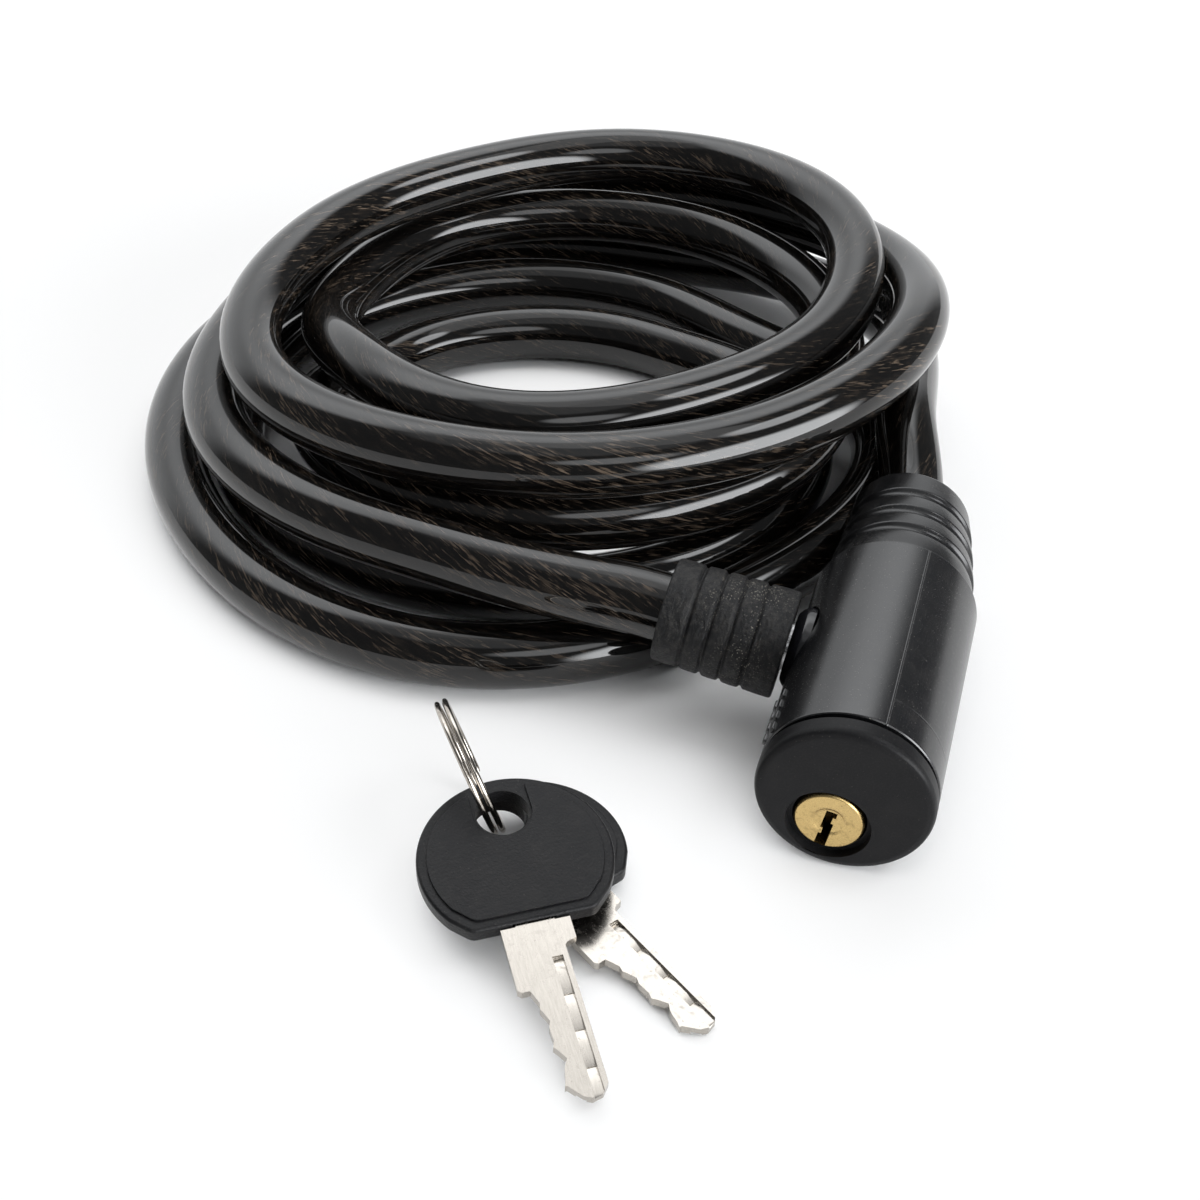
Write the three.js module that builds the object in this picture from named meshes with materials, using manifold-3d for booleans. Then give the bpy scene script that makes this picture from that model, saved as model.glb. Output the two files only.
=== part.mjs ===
// A coiled key cable lock as it lies on a table: a round lock head with its
// rubber boots, the bolt end plugged into its side, the piled cable between
// them, and two keys on a split ring. Millimetres, +Z up; the head's axis runs
// along Y with the key face towards -Y, and the table is z = 0.
import * as THREE from "three";
import { mergeVertices } from "three/addons/utils/BufferGeometryUtils.js";
import Module from "manifold-3d";

const wasm = await Module();
wasm.setup();

// ---------------------------------------------------------------- sizes
const GAP = 0.3; // clearance between pieces that touch
const SIDES = 48; // facets round a turned piece

// lock head
const HEAD_R = 14.2; // outer radius of sleeve and cap
const HEAD_ROLL = THREE.MathUtils.degToRad(9); // the head lies rolled: bolt side up
const SLEEVE_WALL = 1.8;
const SLEEVE_END = 50.4; // face to the sleeve's rear edge
const CAP_T = 3.6; // visible thickness of the end cap
const CAP_GROOVE = 0.9; // shadow groove between cap and sleeve
const CAP_SPIGOT = 5.4; // cap spigot inside the sleeve
const CAP_EDGE = 0.7; // rounding of the cap's face edge
const CORE_TAIL = 1.3; // die-cast core behind the cross pin
const RECESS_R = 6.8; // ring-shaped recess round the plug
const RECESS_DEPTH = 1.6;
const RIB_LEN = 3; // plain grip bars on the sleeve
const RIB_W = 1.2;
const RIB_PITCH = 2.7;
const RIB_RISE = 0.4;
const RIB_ROWS = 4;

// plug, wafers and cam
const PLUG_X = -1.1; // plug axis from the head's axis
const PLUG_EDGE = 8.5; // and from the head's lowest line
const PLUG_REST = THREE.MathUtils.degToRad(3); // keyway at rest, from the bolt's upright
const PLUG_R = 5.6;
const PLUG_FACE = 0.7; // plug face behind the cap's face
const PLUG_LEN = 20;
const DISH_R = 2.9; // shallow dish in the plug's face
const DISH_DEPTH = 0.4;
const WAFERS = 5;
const WAFER_FIRST = 4.4; // first wafer from the plug's face
const WAFER_PITCH = 2.5;
const WAFER_T = 0.8;
const WAFER_W = 6;
const WAFER_H = 9;
const WINDOW_H = 5.4; // height of a wafer's window
const KEY_FIT = 0.15; // keyway round the blade
const CLIP_T = 1;
const CLIP_MOUTH = 5.2; // open side of the clip
const CLIP_NECK_R = 4.7; // plug's neck under the clip
const CLIP_R = 6.2;
const CAM_T = 2;
const CAM_R = 4.4;
const CAM_PIN_R = 1;
const CAM_PIN_OFF = 3.2; // cam pin from the plug's axis
const CAM_PIN_LEN = 3.4;

// bolt and what holds it
const BOLT_Y = 31.7; // bolt axis behind the key face
const BOLT_R = 4.2;
const BOLT_TIP = -3; // tip past the head's axis
const BOLT_CHAMFER = 0.8;
const BOLT_GROOVE_R = 2.7;
const BOLT_GROOVE_W = 3.8;
const COLLAR_R = 7.4;
const COLLAR_RISE = 1.1; // collar stands out of the sleeve
const COLLAR_BEVEL = 1.6;
const LATCH_TRAVEL = 1.5; // the latch stands drawn down and rises this far
const LATCH_W = 5.6;
const LATCH_L = 6.4;
const CHAMBER_WALL = 0.38; // core left under the latch chamber
const ARM_T = 1.1; // latch arm below the cam pin
const SPRING_WIRE = 0.5;
const LATCH_SPRING_R = 1.8;
const LATCH_SPRING_CURLS = 5;
const PLUNGER_L = 3;
const EJECT_SPRING_L = 3.8;
const EJECT_SPRING_R = 3.3;
const EJECT_SPRING_CURLS = 4;

// cable and its ends
const CABLE_D = 12;
const CABLE_R = CABLE_D / 2;
const FERRULE_WALL = 1;
const HEAD_FERRULE_R = 5.6;
const HEAD_FERRULE_L = 10;
const CROSS_PIN_R = 1.2;
const REAR_BOOT_END = 76.4;
const REAR_BOOT_R0 = 13.4;
const REAR_BOOT_R1 = 10.8;
const REAR_BOOT_BEND = 1.2; // its end leans this far towards the bolt's side
const REAR_BOOT_BANDS = [6.1, 6.1, 6.1, 7.3]; // relative widths of its ribs
const REAR_GROOVE_W = 2.4; // wide grooves between them
const BOLT_GROOVES_W = 0.9; // grooves of the bolt boot
const BOOT_GROOVE_DEPTH = 0.6;
const BOLT_BOOT_R = 9.3; // at the head
const BOLT_BOOT_R1 = 8.9; // at the cable
const BOLT_BOOT_LEN = 21.3;
const BOLT_BOOT_BANDS = [5.5, 3.7, 3.5, 3.7, 4.9]; // relative widths, from the head
const BOLT_STANDOFF = 0.4; // dark gap between collar and boot
const BOLT_FLANGE_T = 1.6;
const BOLT_FERRULE_L = 10;

// keys and ring
const BOW_R = 15.1;
const BOW_CHORD = 11.6; // bow's centre to its flat
const BOW_CORNER = 2.8; // corners of the flat, taken off
const BOW_T = 2.8; // rim thickness
const PANEL_RISE = 0.4; // raised panel on both faces
const PANEL_INSET = 1.6;
const HOLE_R = 4.2;
const HOLE_OFF = 8.4; // ring hole from the bow's centre
const HOLE_LAND = 0.35; // the panel stays back from the hole, and is open to the edge
const SHANK_W = 10.6;
const SHOULDER = 22.8; // bow's centre to the shoulder on the cut side
const STEP = 16.1; // and to the step on the spine's side
const SPINE = 3.4; // spine from the key's middle line
const BLADE_W = 7;
const BLADE_T = 1.5;
const BLADE_END = 41.1;
const TANG_W = 6;
const TANG_START = 2;
const MILL_DEPTH = 0.45; // milled grooves on the blade's faces
const MILLS = [0.12, 0.35, 0.5, 0.68]; // their edges, as parts of the blade's width
const CUTS = [0.9, 1.6, 1.3, 2.4, 1.3]; // depths of the five cuts
const RING_R = 11;
const RING_WIRE = 1.4; // flat wire: across the ring
const RING_WIRE_T = 1; // and along its axis
const RING_GAP = 0.32; // between its two turns
const RING_TURNED = 200; // where the step stands, in degrees round the ring
const RING_SPLIT = 30; // degrees from the step between its turns to each end
const RING_X = -58.6; // middle of the ring
const RING_Y = -6;
const RING_Z = 11.55;

// ---------------------------------------------------------------- helpers
const materials = {
  sleeve: [0x17181a, 0.42, 0],
  cap: [0x232427, 0.62, 0],
  rubber: [0x121212, 0.85, 0],
  cable: [0x0f0e0d, 0.16, 0],
  zinc: [0x8d9094, 0.45, 0.9],
  steel: [0xb9bbbd, 0.28, 1],
  brass: [0xd3bd84, 0.33, 1],
  gloss: [0x1b1c1e, 0.22, 0],
  bow: [0x1c1c1e, 0.5, 0],
};
const materialOf = (kind) => {
  const [color, roughness, metalness] = materials[kind];
  return new THREE.MeshStandardMaterial({ color, roughness, metalness });
};

// A closed geometry as a solid that can be joined and cut.
function solid(geometry) {
  const g = geometry.clone();
  g.deleteAttribute("normal");
  g.deleteAttribute("uv");
  const m = mergeVertices(g, 1e-4);
  return new wasm.Manifold(
    new wasm.Mesh({
      numProp: 3,
      vertProperties: new Float32Array(m.attributes.position.array),
      triVerts: new Uint32Array(m.index.array),
    }),
  );
}

function geometryOf(body) {
  const mesh = body.getMesh();
  const g = new THREE.BufferGeometry();
  g.setAttribute(
    "position",
    new THREE.BufferAttribute(new Float32Array(mesh.vertProperties), 3),
  );
  g.setIndex(new THREE.BufferAttribute(new Uint32Array(mesh.triVerts), 1));
  const flat = g.toNonIndexed();
  flat.computeVertexNormals();
  return flat;
}

// A turned piece about Y from [radius, y] corners, closed on itself.
function turned(corners, sides = SIDES) {
  const p = corners.map(([r, y]) => new THREE.Vector2(Math.max(r, 0), y));
  if (THREE.ShapeUtils.area(p) < 0) p.reverse();
  p.push(p[0].clone());
  return new THREE.LatheGeometry(p, sides);
}
const disc = (r, y0, y1, sides = SIDES) =>
  turned([[0, y0], [r, y0], [r, y1], [0, y1]], sides);
const pipe = (r0, r1, y0, y1, sides = SIDES) =>
  turned([[r0, y0], [r1, y0], [r1, y1], [r0, y1]], sides);

function box(x0, x1, y0, y1, z0, z1) {
  return new THREE.BoxGeometry(x1 - x0, y1 - y0, z1 - z0).translate(
    (x0 + x1) / 2,
    (y0 + y1) / 2,
    (z0 + z1) / 2,
  );
}

// A flat outline [x, z] carried along Y from y0 to y1.
function slab(outline, y0, y1) {
  const shape = new THREE.Shape(outline.map(([x, z]) => new THREE.Vector2(x, z)));
  return new THREE.ExtrudeGeometry(shape, { depth: y1 - y0, bevelEnabled: false })
    .rotateX(Math.PI / 2)
    .translate(0, y1, 0);
}

// Turned pieces about the bolt's axis: y becomes the distance out along -X.
const boltwise = (geometry) =>
  geometry.rotateZ(Math.PI / 2).translate(0, BOLT_Y, 0);

function mesh(name, kind, shape) {
  const geometry = shape.isBufferGeometry ? shape : geometryOf(shape);
  const made = new THREE.Mesh(geometry, materialOf(kind));
  made.name = name;
  return made;
}

// One unbroken tube round a list of points, with flat ends. The section has a
// fixed upright, so it doesn't twist; rise is its half height along it.
function tube(points, radius, sides, upright = new THREE.Vector3(0, 0, 1), rise = radius) {
  const position = [];
  const rings = points.map((p, i) => {
    const a = points[Math.max(i - 1, 0)];
    const b = points[Math.min(i + 1, points.length - 1)];
    const t = b.clone().sub(a).normalize();
    const e1 = new THREE.Vector3().crossVectors(upright, t).normalize();
    const e2 = new THREE.Vector3().crossVectors(t, e1);
    return Array.from({ length: sides }, (_, k) => {
      const w = (2 * Math.PI * (k + 0.5)) / sides;
      return p
        .clone()
        .addScaledVector(e1, radius * Math.cos(w))
        .addScaledVector(e2, rise * Math.sin(w));
    });
  });
  const tri = (...v) => v.forEach((q) => position.push(q.x, q.y, q.z));
  for (let i = 0; i + 1 < rings.length; i++)
    for (let k = 0; k < sides; k++) {
      const l = (k + 1) % sides;
      tri(rings[i][k], rings[i][l], rings[i + 1][l]);
      tri(rings[i][k], rings[i + 1][l], rings[i + 1][k]);
    }
  const first = rings[0];
  const last = rings[rings.length - 1];
  for (let k = 1; k + 1 < sides; k++) {
    tri(first[0], first[k + 1], first[k]);
    tri(last[0], last[k], last[k + 1]);
  }
  const g = new THREE.BufferGeometry();
  g.setAttribute("position", new THREE.Float32BufferAttribute(position, 3));
  g.computeVertexNormals();
  return g;
}

// A helix about Y as points, wire centre at the given radius.
function helix(radius, y0, y1, turns, steps) {
  const n = Math.round(turns * steps);
  return Array.from({ length: n + 1 }, (_, i) => {
    const a = (2 * Math.PI * i) / steps;
    return new THREE.Vector3(
      radius * Math.cos(a),
      y0 + ((y1 - y0) * i) / n,
      radius * Math.sin(a),
    );
  });
}

// ---------------------------------------------------------------- lock head
const head = new THREE.Group();
head.position.z = HEAD_R;
head.rotation.y = HEAD_ROLL;

const boreR = HEAD_R - SLEEVE_WALL; // inside the sleeve
const innerR = boreR - GAP; // what fits in the sleeve
const sleeveStart = CAP_T + CAP_GROOVE;
const spigotEnd = CAP_T + CAP_SPIGOT;
const coreStart = spigotEnd + GAP;
const plugZ = PLUG_EDGE - HEAD_R;
const plugBoreR = PLUG_R + GAP;
const plugEnd = PLUG_FACE + PLUG_LEN;
const collarIn = innerR + GAP; // collar's inner face, on the core's crown
const collarOut = HEAD_R + COLLAR_RISE;
const atPlug = (geometry) => geometry.translate(PLUG_X, 0, plugZ);
const plugSet = new THREE.Group(); // turned pieces on the plug's own axis
plugSet.position.set(PLUG_X, 0, plugZ);
plugSet.rotation.y = PLUG_REST;
head.add(plugSet);

// key section and keyway: x is the thickness, h runs from the spine down
const bladeSection = (grow) => {
  const x = BLADE_T / 2 + grow;
  const inner = BLADE_T / 2 - MILL_DEPTH + grow;
  const [a, b, c, d] = MILLS.map((part) => -BLADE_W * part);
  return [
    [-x, grow],
    [-x, c - grow],
    [-inner, c - grow],
    [-inner, d + grow],
    [-x, d + grow],
    [-x, -BLADE_W - grow],
    [x, -BLADE_W - grow],
    [x, b + grow],
    [inner, b + grow],
    [inner, a - grow],
    [x, a - grow],
    [x, grow],
  ];
};
const spineZ = BLADE_W - (PLUG_R - 0.35); // spine above the plug's axis
const keyway = (grow) => bladeSection(grow).map(([x, z]) => [x, z + spineZ]);

function sleeve() {
  let body = solid(pipe(boreR, HEAD_R, sleeveStart, SLEEVE_END));
  const y0 = sleeveStart + 1.6;
  for (let i = 0; i < RIB_ROWS; i++)
    for (const turn of [-64, -76]) {
      const bar = box(
        -RIB_W / 2,
        RIB_W / 2,
        y0 + i * RIB_PITCH,
        y0 + i * RIB_PITCH + RIB_LEN * 0.6,
        HEAD_R - SLEEVE_WALL / 2,
        HEAD_R + RIB_RISE,
      ).rotateY(THREE.MathUtils.degToRad(turn) - HEAD_ROLL);
      body = body.add(solid(bar));
    }
  return body.subtract(
    solid(boltwise(disc(COLLAR_R + GAP, 0, HEAD_R + 5))),
  );
}
head.add(mesh("head_sleeve", "sleeve", sleeve()));

function endCap() {
  const e = CAP_EDGE;
  const body = solid(
    turned([
      [0, 0],
      [HEAD_R - e, 0],
      [HEAD_R - e * 0.3, e * 0.3],
      [HEAD_R, e],
      [HEAD_R, CAP_T],
      [innerR, CAP_T],
      [innerR, spigotEnd],
      [0, spigotEnd],
    ]),
  );
  return body
    .subtract(solid(atPlug(disc(RECESS_R, -1, RECESS_DEPTH))))
    .subtract(solid(atPlug(disc(plugBoreR, -1, spigotEnd + 1))));
}
head.add(mesh("end_cap", "cap", endCap()));

// latch chamber under the bolt: the tooth rises into the bolt's groove
const latchY0 = BOLT_Y - LATCH_L / 2;
const latchY1 = BOLT_Y + LATCH_L / 2;
const toothTop = -BOLT_R - GAP;
const latchTop = toothTop - LATCH_TRAVEL;
const chamberFloor = -Math.sqrt((innerR - CHAMBER_WALL) ** 2 - (LATCH_W / 2 + GAP) ** 2);
const latchBottom = chamberFloor + GAP;
const camStart = plugEnd + GAP;
const camEnd = camStart + CAM_T;
const pinEnd = camEnd + CAM_PIN_LEN;
const armY0 = pinEnd - 1.6;
const chamberY0 = armY0 - GAP;
const chamberY1 = latchY1 + GAP;
const plungerStart = -BOLT_TIP + GAP;
const plungerEnd = plungerStart + PLUNGER_L;
const ejectEnd = plungerEnd + GAP + EJECT_SPRING_L;
const ferruleStart = BOLT_Y + BOLT_R + 2 * GAP + 1;
const ferruleEnd = ferruleStart + HEAD_FERRULE_L;
const crossPinY = ferruleStart + 2.6;
const coreEnd = crossPinY + CROSS_PIN_R + CORE_TAIL;
const crossPinX = HEAD_FERRULE_R - 0.8 + GAP + CROSS_PIN_R;
const crossPinHalf = Math.sqrt(innerR ** 2 - (crossPinX + CROSS_PIN_R) ** 2) - 0.6;
const clipY = plugEnd - CLIP_T - 1.4;

function lockCore() {
  return solid(disc(innerR, coreStart, coreEnd))
    .subtract(solid(atPlug(disc(plugBoreR, 0, pinEnd + GAP))))
    .subtract(solid(atPlug(disc(CLIP_R + GAP, clipY - GAP, clipY + CLIP_T + GAP))))
    .subtract(
      solid(
        atPlug(
          box(-CLIP_R - GAP, CLIP_R + GAP, clipY - GAP, clipY + CLIP_T + GAP, -HEAD_R, 0),
        ),
      ),
    )
    .subtract(solid(boltwise(disc(BOLT_R + GAP, -ejectEnd - GAP, HEAD_R))))
    .subtract(
      solid(
        box(-LATCH_W / 2 - GAP, LATCH_W / 2 + GAP, chamberY0, chamberY1, chamberFloor, 0),
      ),
    )
    .subtract(solid(disc(HEAD_FERRULE_R + GAP, ferruleStart - GAP, coreEnd + 1)))
    .subtract(
      solid(
        disc(CROSS_PIN_R + GAP, -HEAD_R, HEAD_R, 16)
          .rotateX(Math.PI / 2)
          .translate(crossPinX, crossPinY, 0),
      ),
    );
}
head.add(mesh("lock_core", "zinc", lockCore()));

head.add(
  mesh(
    "socket_collar",
    "gloss",
    boltwise(
      turned([
        [BOLT_R + GAP, collarIn],
        [COLLAR_R, collarIn],
        [COLLAR_R, collarOut - COLLAR_BEVEL],
        [COLLAR_R - COLLAR_BEVEL, collarOut],
        [BOLT_R + GAP, collarOut],
      ]),
    ),
  ),
);

function plug() {
  const neck0 = clipY - GAP;
  const neck1 = clipY + CLIP_T + GAP;
  let body = solid(
    turned([
      [0, PLUG_FACE + DISH_DEPTH],
      [DISH_R * 0.8, PLUG_FACE + DISH_DEPTH],
      [DISH_R, PLUG_FACE],
      [PLUG_R - 0.3, PLUG_FACE],
      [PLUG_R, PLUG_FACE + 0.3],
      [PLUG_R, neck0],
      [CLIP_NECK_R, neck0],
      [CLIP_NECK_R, neck1],
      [PLUG_R, neck1],
      [PLUG_R, plugEnd],
      [0, plugEnd],
    ]),
  ).subtract(solid(slab(keyway(KEY_FIT), 0, neck0 - 1)));
  for (let i = 0; i < WAFERS; i++) {
    const y = PLUG_FACE + WAFER_FIRST + i * WAFER_PITCH;
    body = body.subtract(
      solid(
        box(-WAFER_W / 2 - GAP, WAFER_W / 2 + GAP, y - GAP, y + WAFER_T + GAP, -HEAD_R, HEAD_R),
      ),
    );
  }
  return body;
}
plugSet.add(mesh("plug", "brass", plug()));

for (let i = 0; i < WAFERS; i++) {
  const y = PLUG_FACE + WAFER_FIRST + i * WAFER_PITCH;
  const drop = CUTS[i % CUTS.length] - 1.6; // window height differs from cut to cut
  const plate = solid(
    box(-WAFER_W / 2, WAFER_W / 2, y, y + WAFER_T, -WAFER_H / 2, WAFER_H / 2),
  );
  const window = solid(
    box(
      -BLADE_T / 2 - GAP,
      BLADE_T / 2 + GAP,
      y - 1,
      y + WAFER_T + 1,
      -WINDOW_H / 2 - drop / 2,
      WINDOW_H / 2 - drop / 2,
    ),
  );
  plugSet.add(mesh(`wafer_${i + 1}`, "brass", plate.subtract(window)));
}

// clip in the plug's neck, open at the bottom
const clip = solid(pipe(CLIP_NECK_R + GAP, CLIP_R, clipY, clipY + CLIP_T)).subtract(
  solid(
    box(-CLIP_MOUTH / 2, CLIP_MOUTH / 2, clipY - 1, clipY + CLIP_T + 1, -HEAD_R, 0),
  ),
);
plugSet.add(mesh("plug_clip", "steel", clip));

const cam = solid(atPlug(disc(CAM_R, camStart, camEnd))).add(
  solid(
    atPlug(disc(CAM_PIN_R, camEnd - 0.5, pinEnd, 20).translate(0, 0, -CAM_PIN_OFF)),
  ),
);
head.add(mesh("plug_cam", "steel", cam));

// latch: body and tooth under the bolt, arm held down by the cam pin, pocket
// for its spring
const armTop = plugZ - CAM_PIN_OFF - CAM_PIN_R - GAP;
const pocketTop = latchTop - 0.9;
const latch = solid(
  box(-LATCH_W / 2, LATCH_W / 2, latchY0, latchY1, latchBottom, latchTop),
)
  .add(
    solid(
      box(
        -(BOLT_GROOVE_W / 2 - GAP),
        BOLT_GROOVE_W / 2 - GAP,
        latchY0 + 0.6,
        latchY1 - 0.6,
        latchTop - 0.5,
        toothTop,
      ),
    ),
  )
  .add(
    solid(
      box(
        -LATCH_W / 2,
        LATCH_W / 2,
        armY0,
        latchY0 + 0.5,
        Math.max(armTop - ARM_T, latchBottom),
        armTop,
      ),
    ),
  )
  .subtract(
    solid(
      disc(LATCH_SPRING_R + SPRING_WIRE / 2 + GAP, 0, 20, 24)
        .rotateX(-Math.PI / 2)
        .translate(0, BOLT_Y, pocketTop),
    ),
  );
head.add(mesh("latch", "steel", latch));

head.add(
  mesh(
    "latch_spring",
    "steel",
    tube(
      helix(
        LATCH_SPRING_R,
        chamberFloor + GAP + SPRING_WIRE / 2,
        pocketTop - GAP - SPRING_WIRE / 2,
        LATCH_SPRING_CURLS,
        8,
      ).map((p) => new THREE.Vector3(p.x, BOLT_Y + p.z, p.y)),
      SPRING_WIRE / 2,
      5,
    ),
  ),
);

head.add(
  mesh(
    "eject_plunger",
    "steel",
    boltwise(
      turned([
        [0, -plungerStart],
        [BOLT_R, -plungerStart],
        [BOLT_R, -plungerEnd],
        [0, -plungerEnd],
      ]),
    ),
  ),
);
head.add(
  mesh(
    "eject_spring",
    "steel",
    tube(
      helix(
        EJECT_SPRING_R,
        plungerEnd + GAP + SPRING_WIRE / 2,
        ejectEnd - SPRING_WIRE / 2,
        EJECT_SPRING_CURLS,
        8,
      ).map((p) => new THREE.Vector3(p.y, BOLT_Y + p.x, p.z)),
      SPRING_WIRE / 2,
      5,
      new THREE.Vector3(1, 0, 0),
    ),
  ),
);

head.add(
  mesh(
    "head_ferrule",
    "zinc",
    turned([
      [0, ferruleStart],
      [HEAD_FERRULE_R, ferruleStart],
      [HEAD_FERRULE_R, crossPinY - CROSS_PIN_R - GAP],
      [HEAD_FERRULE_R - 0.8, crossPinY - CROSS_PIN_R - GAP],
      [HEAD_FERRULE_R - 0.8, crossPinY + CROSS_PIN_R + GAP],
      [HEAD_FERRULE_R, crossPinY + CROSS_PIN_R + GAP],
      [HEAD_FERRULE_R, ferruleEnd],
      [0, ferruleEnd],
    ]),
  ),
);
head.add(
  mesh(
    "cross_pin",
    "steel",
    disc(CROSS_PIN_R, -crossPinHalf, crossPinHalf, 16)
      .rotateX(Math.PI / 2)
      .translate(crossPinX, crossPinY, 0),
  ),
);

// ribbed sides of a boot as [radius, place], from r0 at a to r1 at b
function ribbed(r0, r1, a, b, bands, groove) {
  const out = [];
  const whole = bands.reduce((sum, band) => sum + band, 0);
  const r = (t) => r0 + ((r1 - r0) * (t - a)) / (b - a);
  const w = groove / 2;
  let s = a;
  bands.forEach((band, i) => {
    const e = s + ((b - a) * band) / whole;
    out.push([r(s), i ? s + w : s]);
    if (i < bands.length - 1)
      out.push(
        [r(e), e - w],
        [r(e) - BOOT_GROOVE_DEPTH, e - w / 3],
        [r(e) - BOOT_GROOVE_DEPTH, e + w / 3],
      );
    else out.push([r(e), e]);
    s = e;
  });
  return out;
}

const bootBore = CABLE_R + 2 * GAP;
const bend = (y) =>
  -REAR_BOOT_BEND * Math.max(0, (y - SLEEVE_END) / (REAR_BOOT_END - SLEEVE_END)) ** 2;
const rearBoot = turned([
  [bootBore, coreEnd + GAP],
  [innerR, coreEnd + GAP],
  [innerR, SLEEVE_END + GAP],
  ...ribbed(REAR_BOOT_R0, REAR_BOOT_R1, SLEEVE_END + GAP, REAR_BOOT_END, REAR_BOOT_BANDS, REAR_GROOVE_W),
  [bootBore, REAR_BOOT_END],
  [bootBore, REAR_BOOT_END - 8],
  [bootBore, REAR_BOOT_END - 16],
]);
const ends = rearBoot.attributes.position;
for (let i = 0; i < ends.count; i++) ends.setX(i, ends.getX(i) + bend(ends.getY(i)));
head.add(mesh("rear_boot", "rubber", solid(rearBoot)));

// ---------------------------------------------------------------- bolt end
const bootStart = collarOut + BOLT_STANDOFF;
const bootEnd = bootStart + BOLT_BOOT_LEN;
const flangeStart = bootStart + 1.5;
const flangeEnd = flangeStart + BOLT_FLANGE_T;
const boltFerruleR = CABLE_R + FERRULE_WALL;
const boltFerruleStart = flangeEnd + GAP;
const boltFerruleEnd = boltFerruleStart + BOLT_FERRULE_L;

head.add(
  mesh(
    "bolt_pin",
    "steel",
    boltwise(
      turned([
        [0, BOLT_TIP],
        [BOLT_R - BOLT_CHAMFER, BOLT_TIP],
        [BOLT_R, BOLT_TIP + BOLT_CHAMFER * 0.6],
        [BOLT_R, -BOLT_GROOVE_W / 2],
        [BOLT_GROOVE_R, -BOLT_GROOVE_W / 2],
        [BOLT_GROOVE_R, BOLT_GROOVE_W / 2],
        [BOLT_R, BOLT_GROOVE_W / 2],
        [BOLT_R, flangeStart],
        [boltFerruleR, flangeStart],
        [boltFerruleR, flangeEnd],
        [0, flangeEnd],
      ]),
    ),
  ),
);
head.add(
  mesh(
    "bolt_ferrule",
    "zinc",
    boltwise(disc(boltFerruleR, boltFerruleStart, boltFerruleEnd)),
  ),
);
head.add(
  mesh(
    "bolt_boot",
    "rubber",
    boltwise(
      turned([
        [BOLT_R + GAP, bootStart],
        ...ribbed(BOLT_BOOT_R, BOLT_BOOT_R1, bootStart, bootEnd, BOLT_BOOT_BANDS, BOLT_GROOVES_W),
        [bootBore, bootEnd],
        [bootBore, boltFerruleEnd + GAP],
        [boltFerruleR + GAP, boltFerruleEnd + GAP],
        [boltFerruleR + GAP, flangeStart - GAP],
        [BOLT_R + GAP, flangeStart - GAP],
      ]),
    ),
  ),
);

// ---------------------------------------------------------------- cable
// The pile as the cable lies: for every eighth of a turn, clockwise from the
// front, its distance from the pile's middle and its height. Between them the
// cable swings evenly from one to the next.
const PILE_X = -76;
const PILE_Y = 116;
const FLOOR = CABLE_R + 0.05; // height of a loop that lies on the table
const LAYER = 12.6; // one layer up
const UP = FLOOR + LAYER;
const TOP = FLOOR + 2 * LAYER + 0.5;
const PILE = [
  [80, 20.5], [79.5, 20], [71, 19.5], [73.2, UP], [70, UP], [70, 23.5], [68, TOP], [65.8, TOP],
  [67.5, TOP], [70.5, 31], [61.5, TOP], [58, TOP], [65.3, 31.2], [61.2, 33.4], [52.5, TOP], [49.5, TOP],
  [54.5, TOP], [51, 28.5], [55, 20], [60, UP], [57, UP], [54, UP], [53, UP], [61.4, UP],
  [65, UP], [60, 15.5], [44, FLOOR], [29, FLOOR], [23.5, FLOOR], [27, FLOOR], [46.5, FLOOR], [61.4, FLOOR],
  [71.5, FLOOR], [75, FLOOR], [67, FLOOR], [53.5, FLOOR], [43.5, FLOOR], [42, FLOOR], [63.4, FLOOR], [74.6, FLOOR],
  [91, FLOOR], [88, FLOOR], [83.3, FLOOR], [73.5, FLOOR], [64, FLOOR], [70.5, 9.5], [67.8, 18.4], [78, 15.5],
];
const PILE_START = 10; // degrees round the pile
const PILE_END = 5 * 360 + 265;
const LOOP_STEP = 360 / 24;

function onPile(degrees) {
  const t = degrees / 45;
  const i = Math.min(Math.floor(t), PILE.length - 2);
  const u = t - i;
  const at = (k) => PILE[Math.min(Math.max(k, 0), PILE.length - 1)];
  const swing = (axis) => {
    const [a, b, c, d] = [-1, 0, 1, 2].map((k) => at(i + k)[axis]);
    return (
      b + 0.5 * u * (c - a + u * (2 * a - 5 * b + 4 * c - d + u * (3 * (b - c) + d - a)))
    );
  };
  const turn = (t * Math.PI) / 4;
  return new THREE.Vector3(
    PILE_X - swing(0) * Math.sin(turn),
    PILE_Y - swing(0) * Math.cos(turn),
    Math.max(swing(1), FLOOR),
  );
}

const coilPoints = [];
for (let a = PILE_START; a <= PILE_END; a += LOOP_STEP) coilPoints.push(onPile(a));
// both ends run straight for one diameter
const startWay = onPile(PILE_START).sub(onPile(PILE_START + 1)).normalize();
const endWay = onPile(PILE_END).sub(onPile(PILE_END - 1)).normalize();
coilPoints.unshift(coilPoints[0].clone().addScaledVector(startWay, CABLE_D));
coilPoints.push(coilPoints[coilPoints.length - 1].clone().addScaledVector(endWay, CABLE_D));

const cable = new THREE.Group();
cable.add(mesh("cable_coil", "cable", tube(coilPoints, CABLE_R, 6)));

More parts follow.
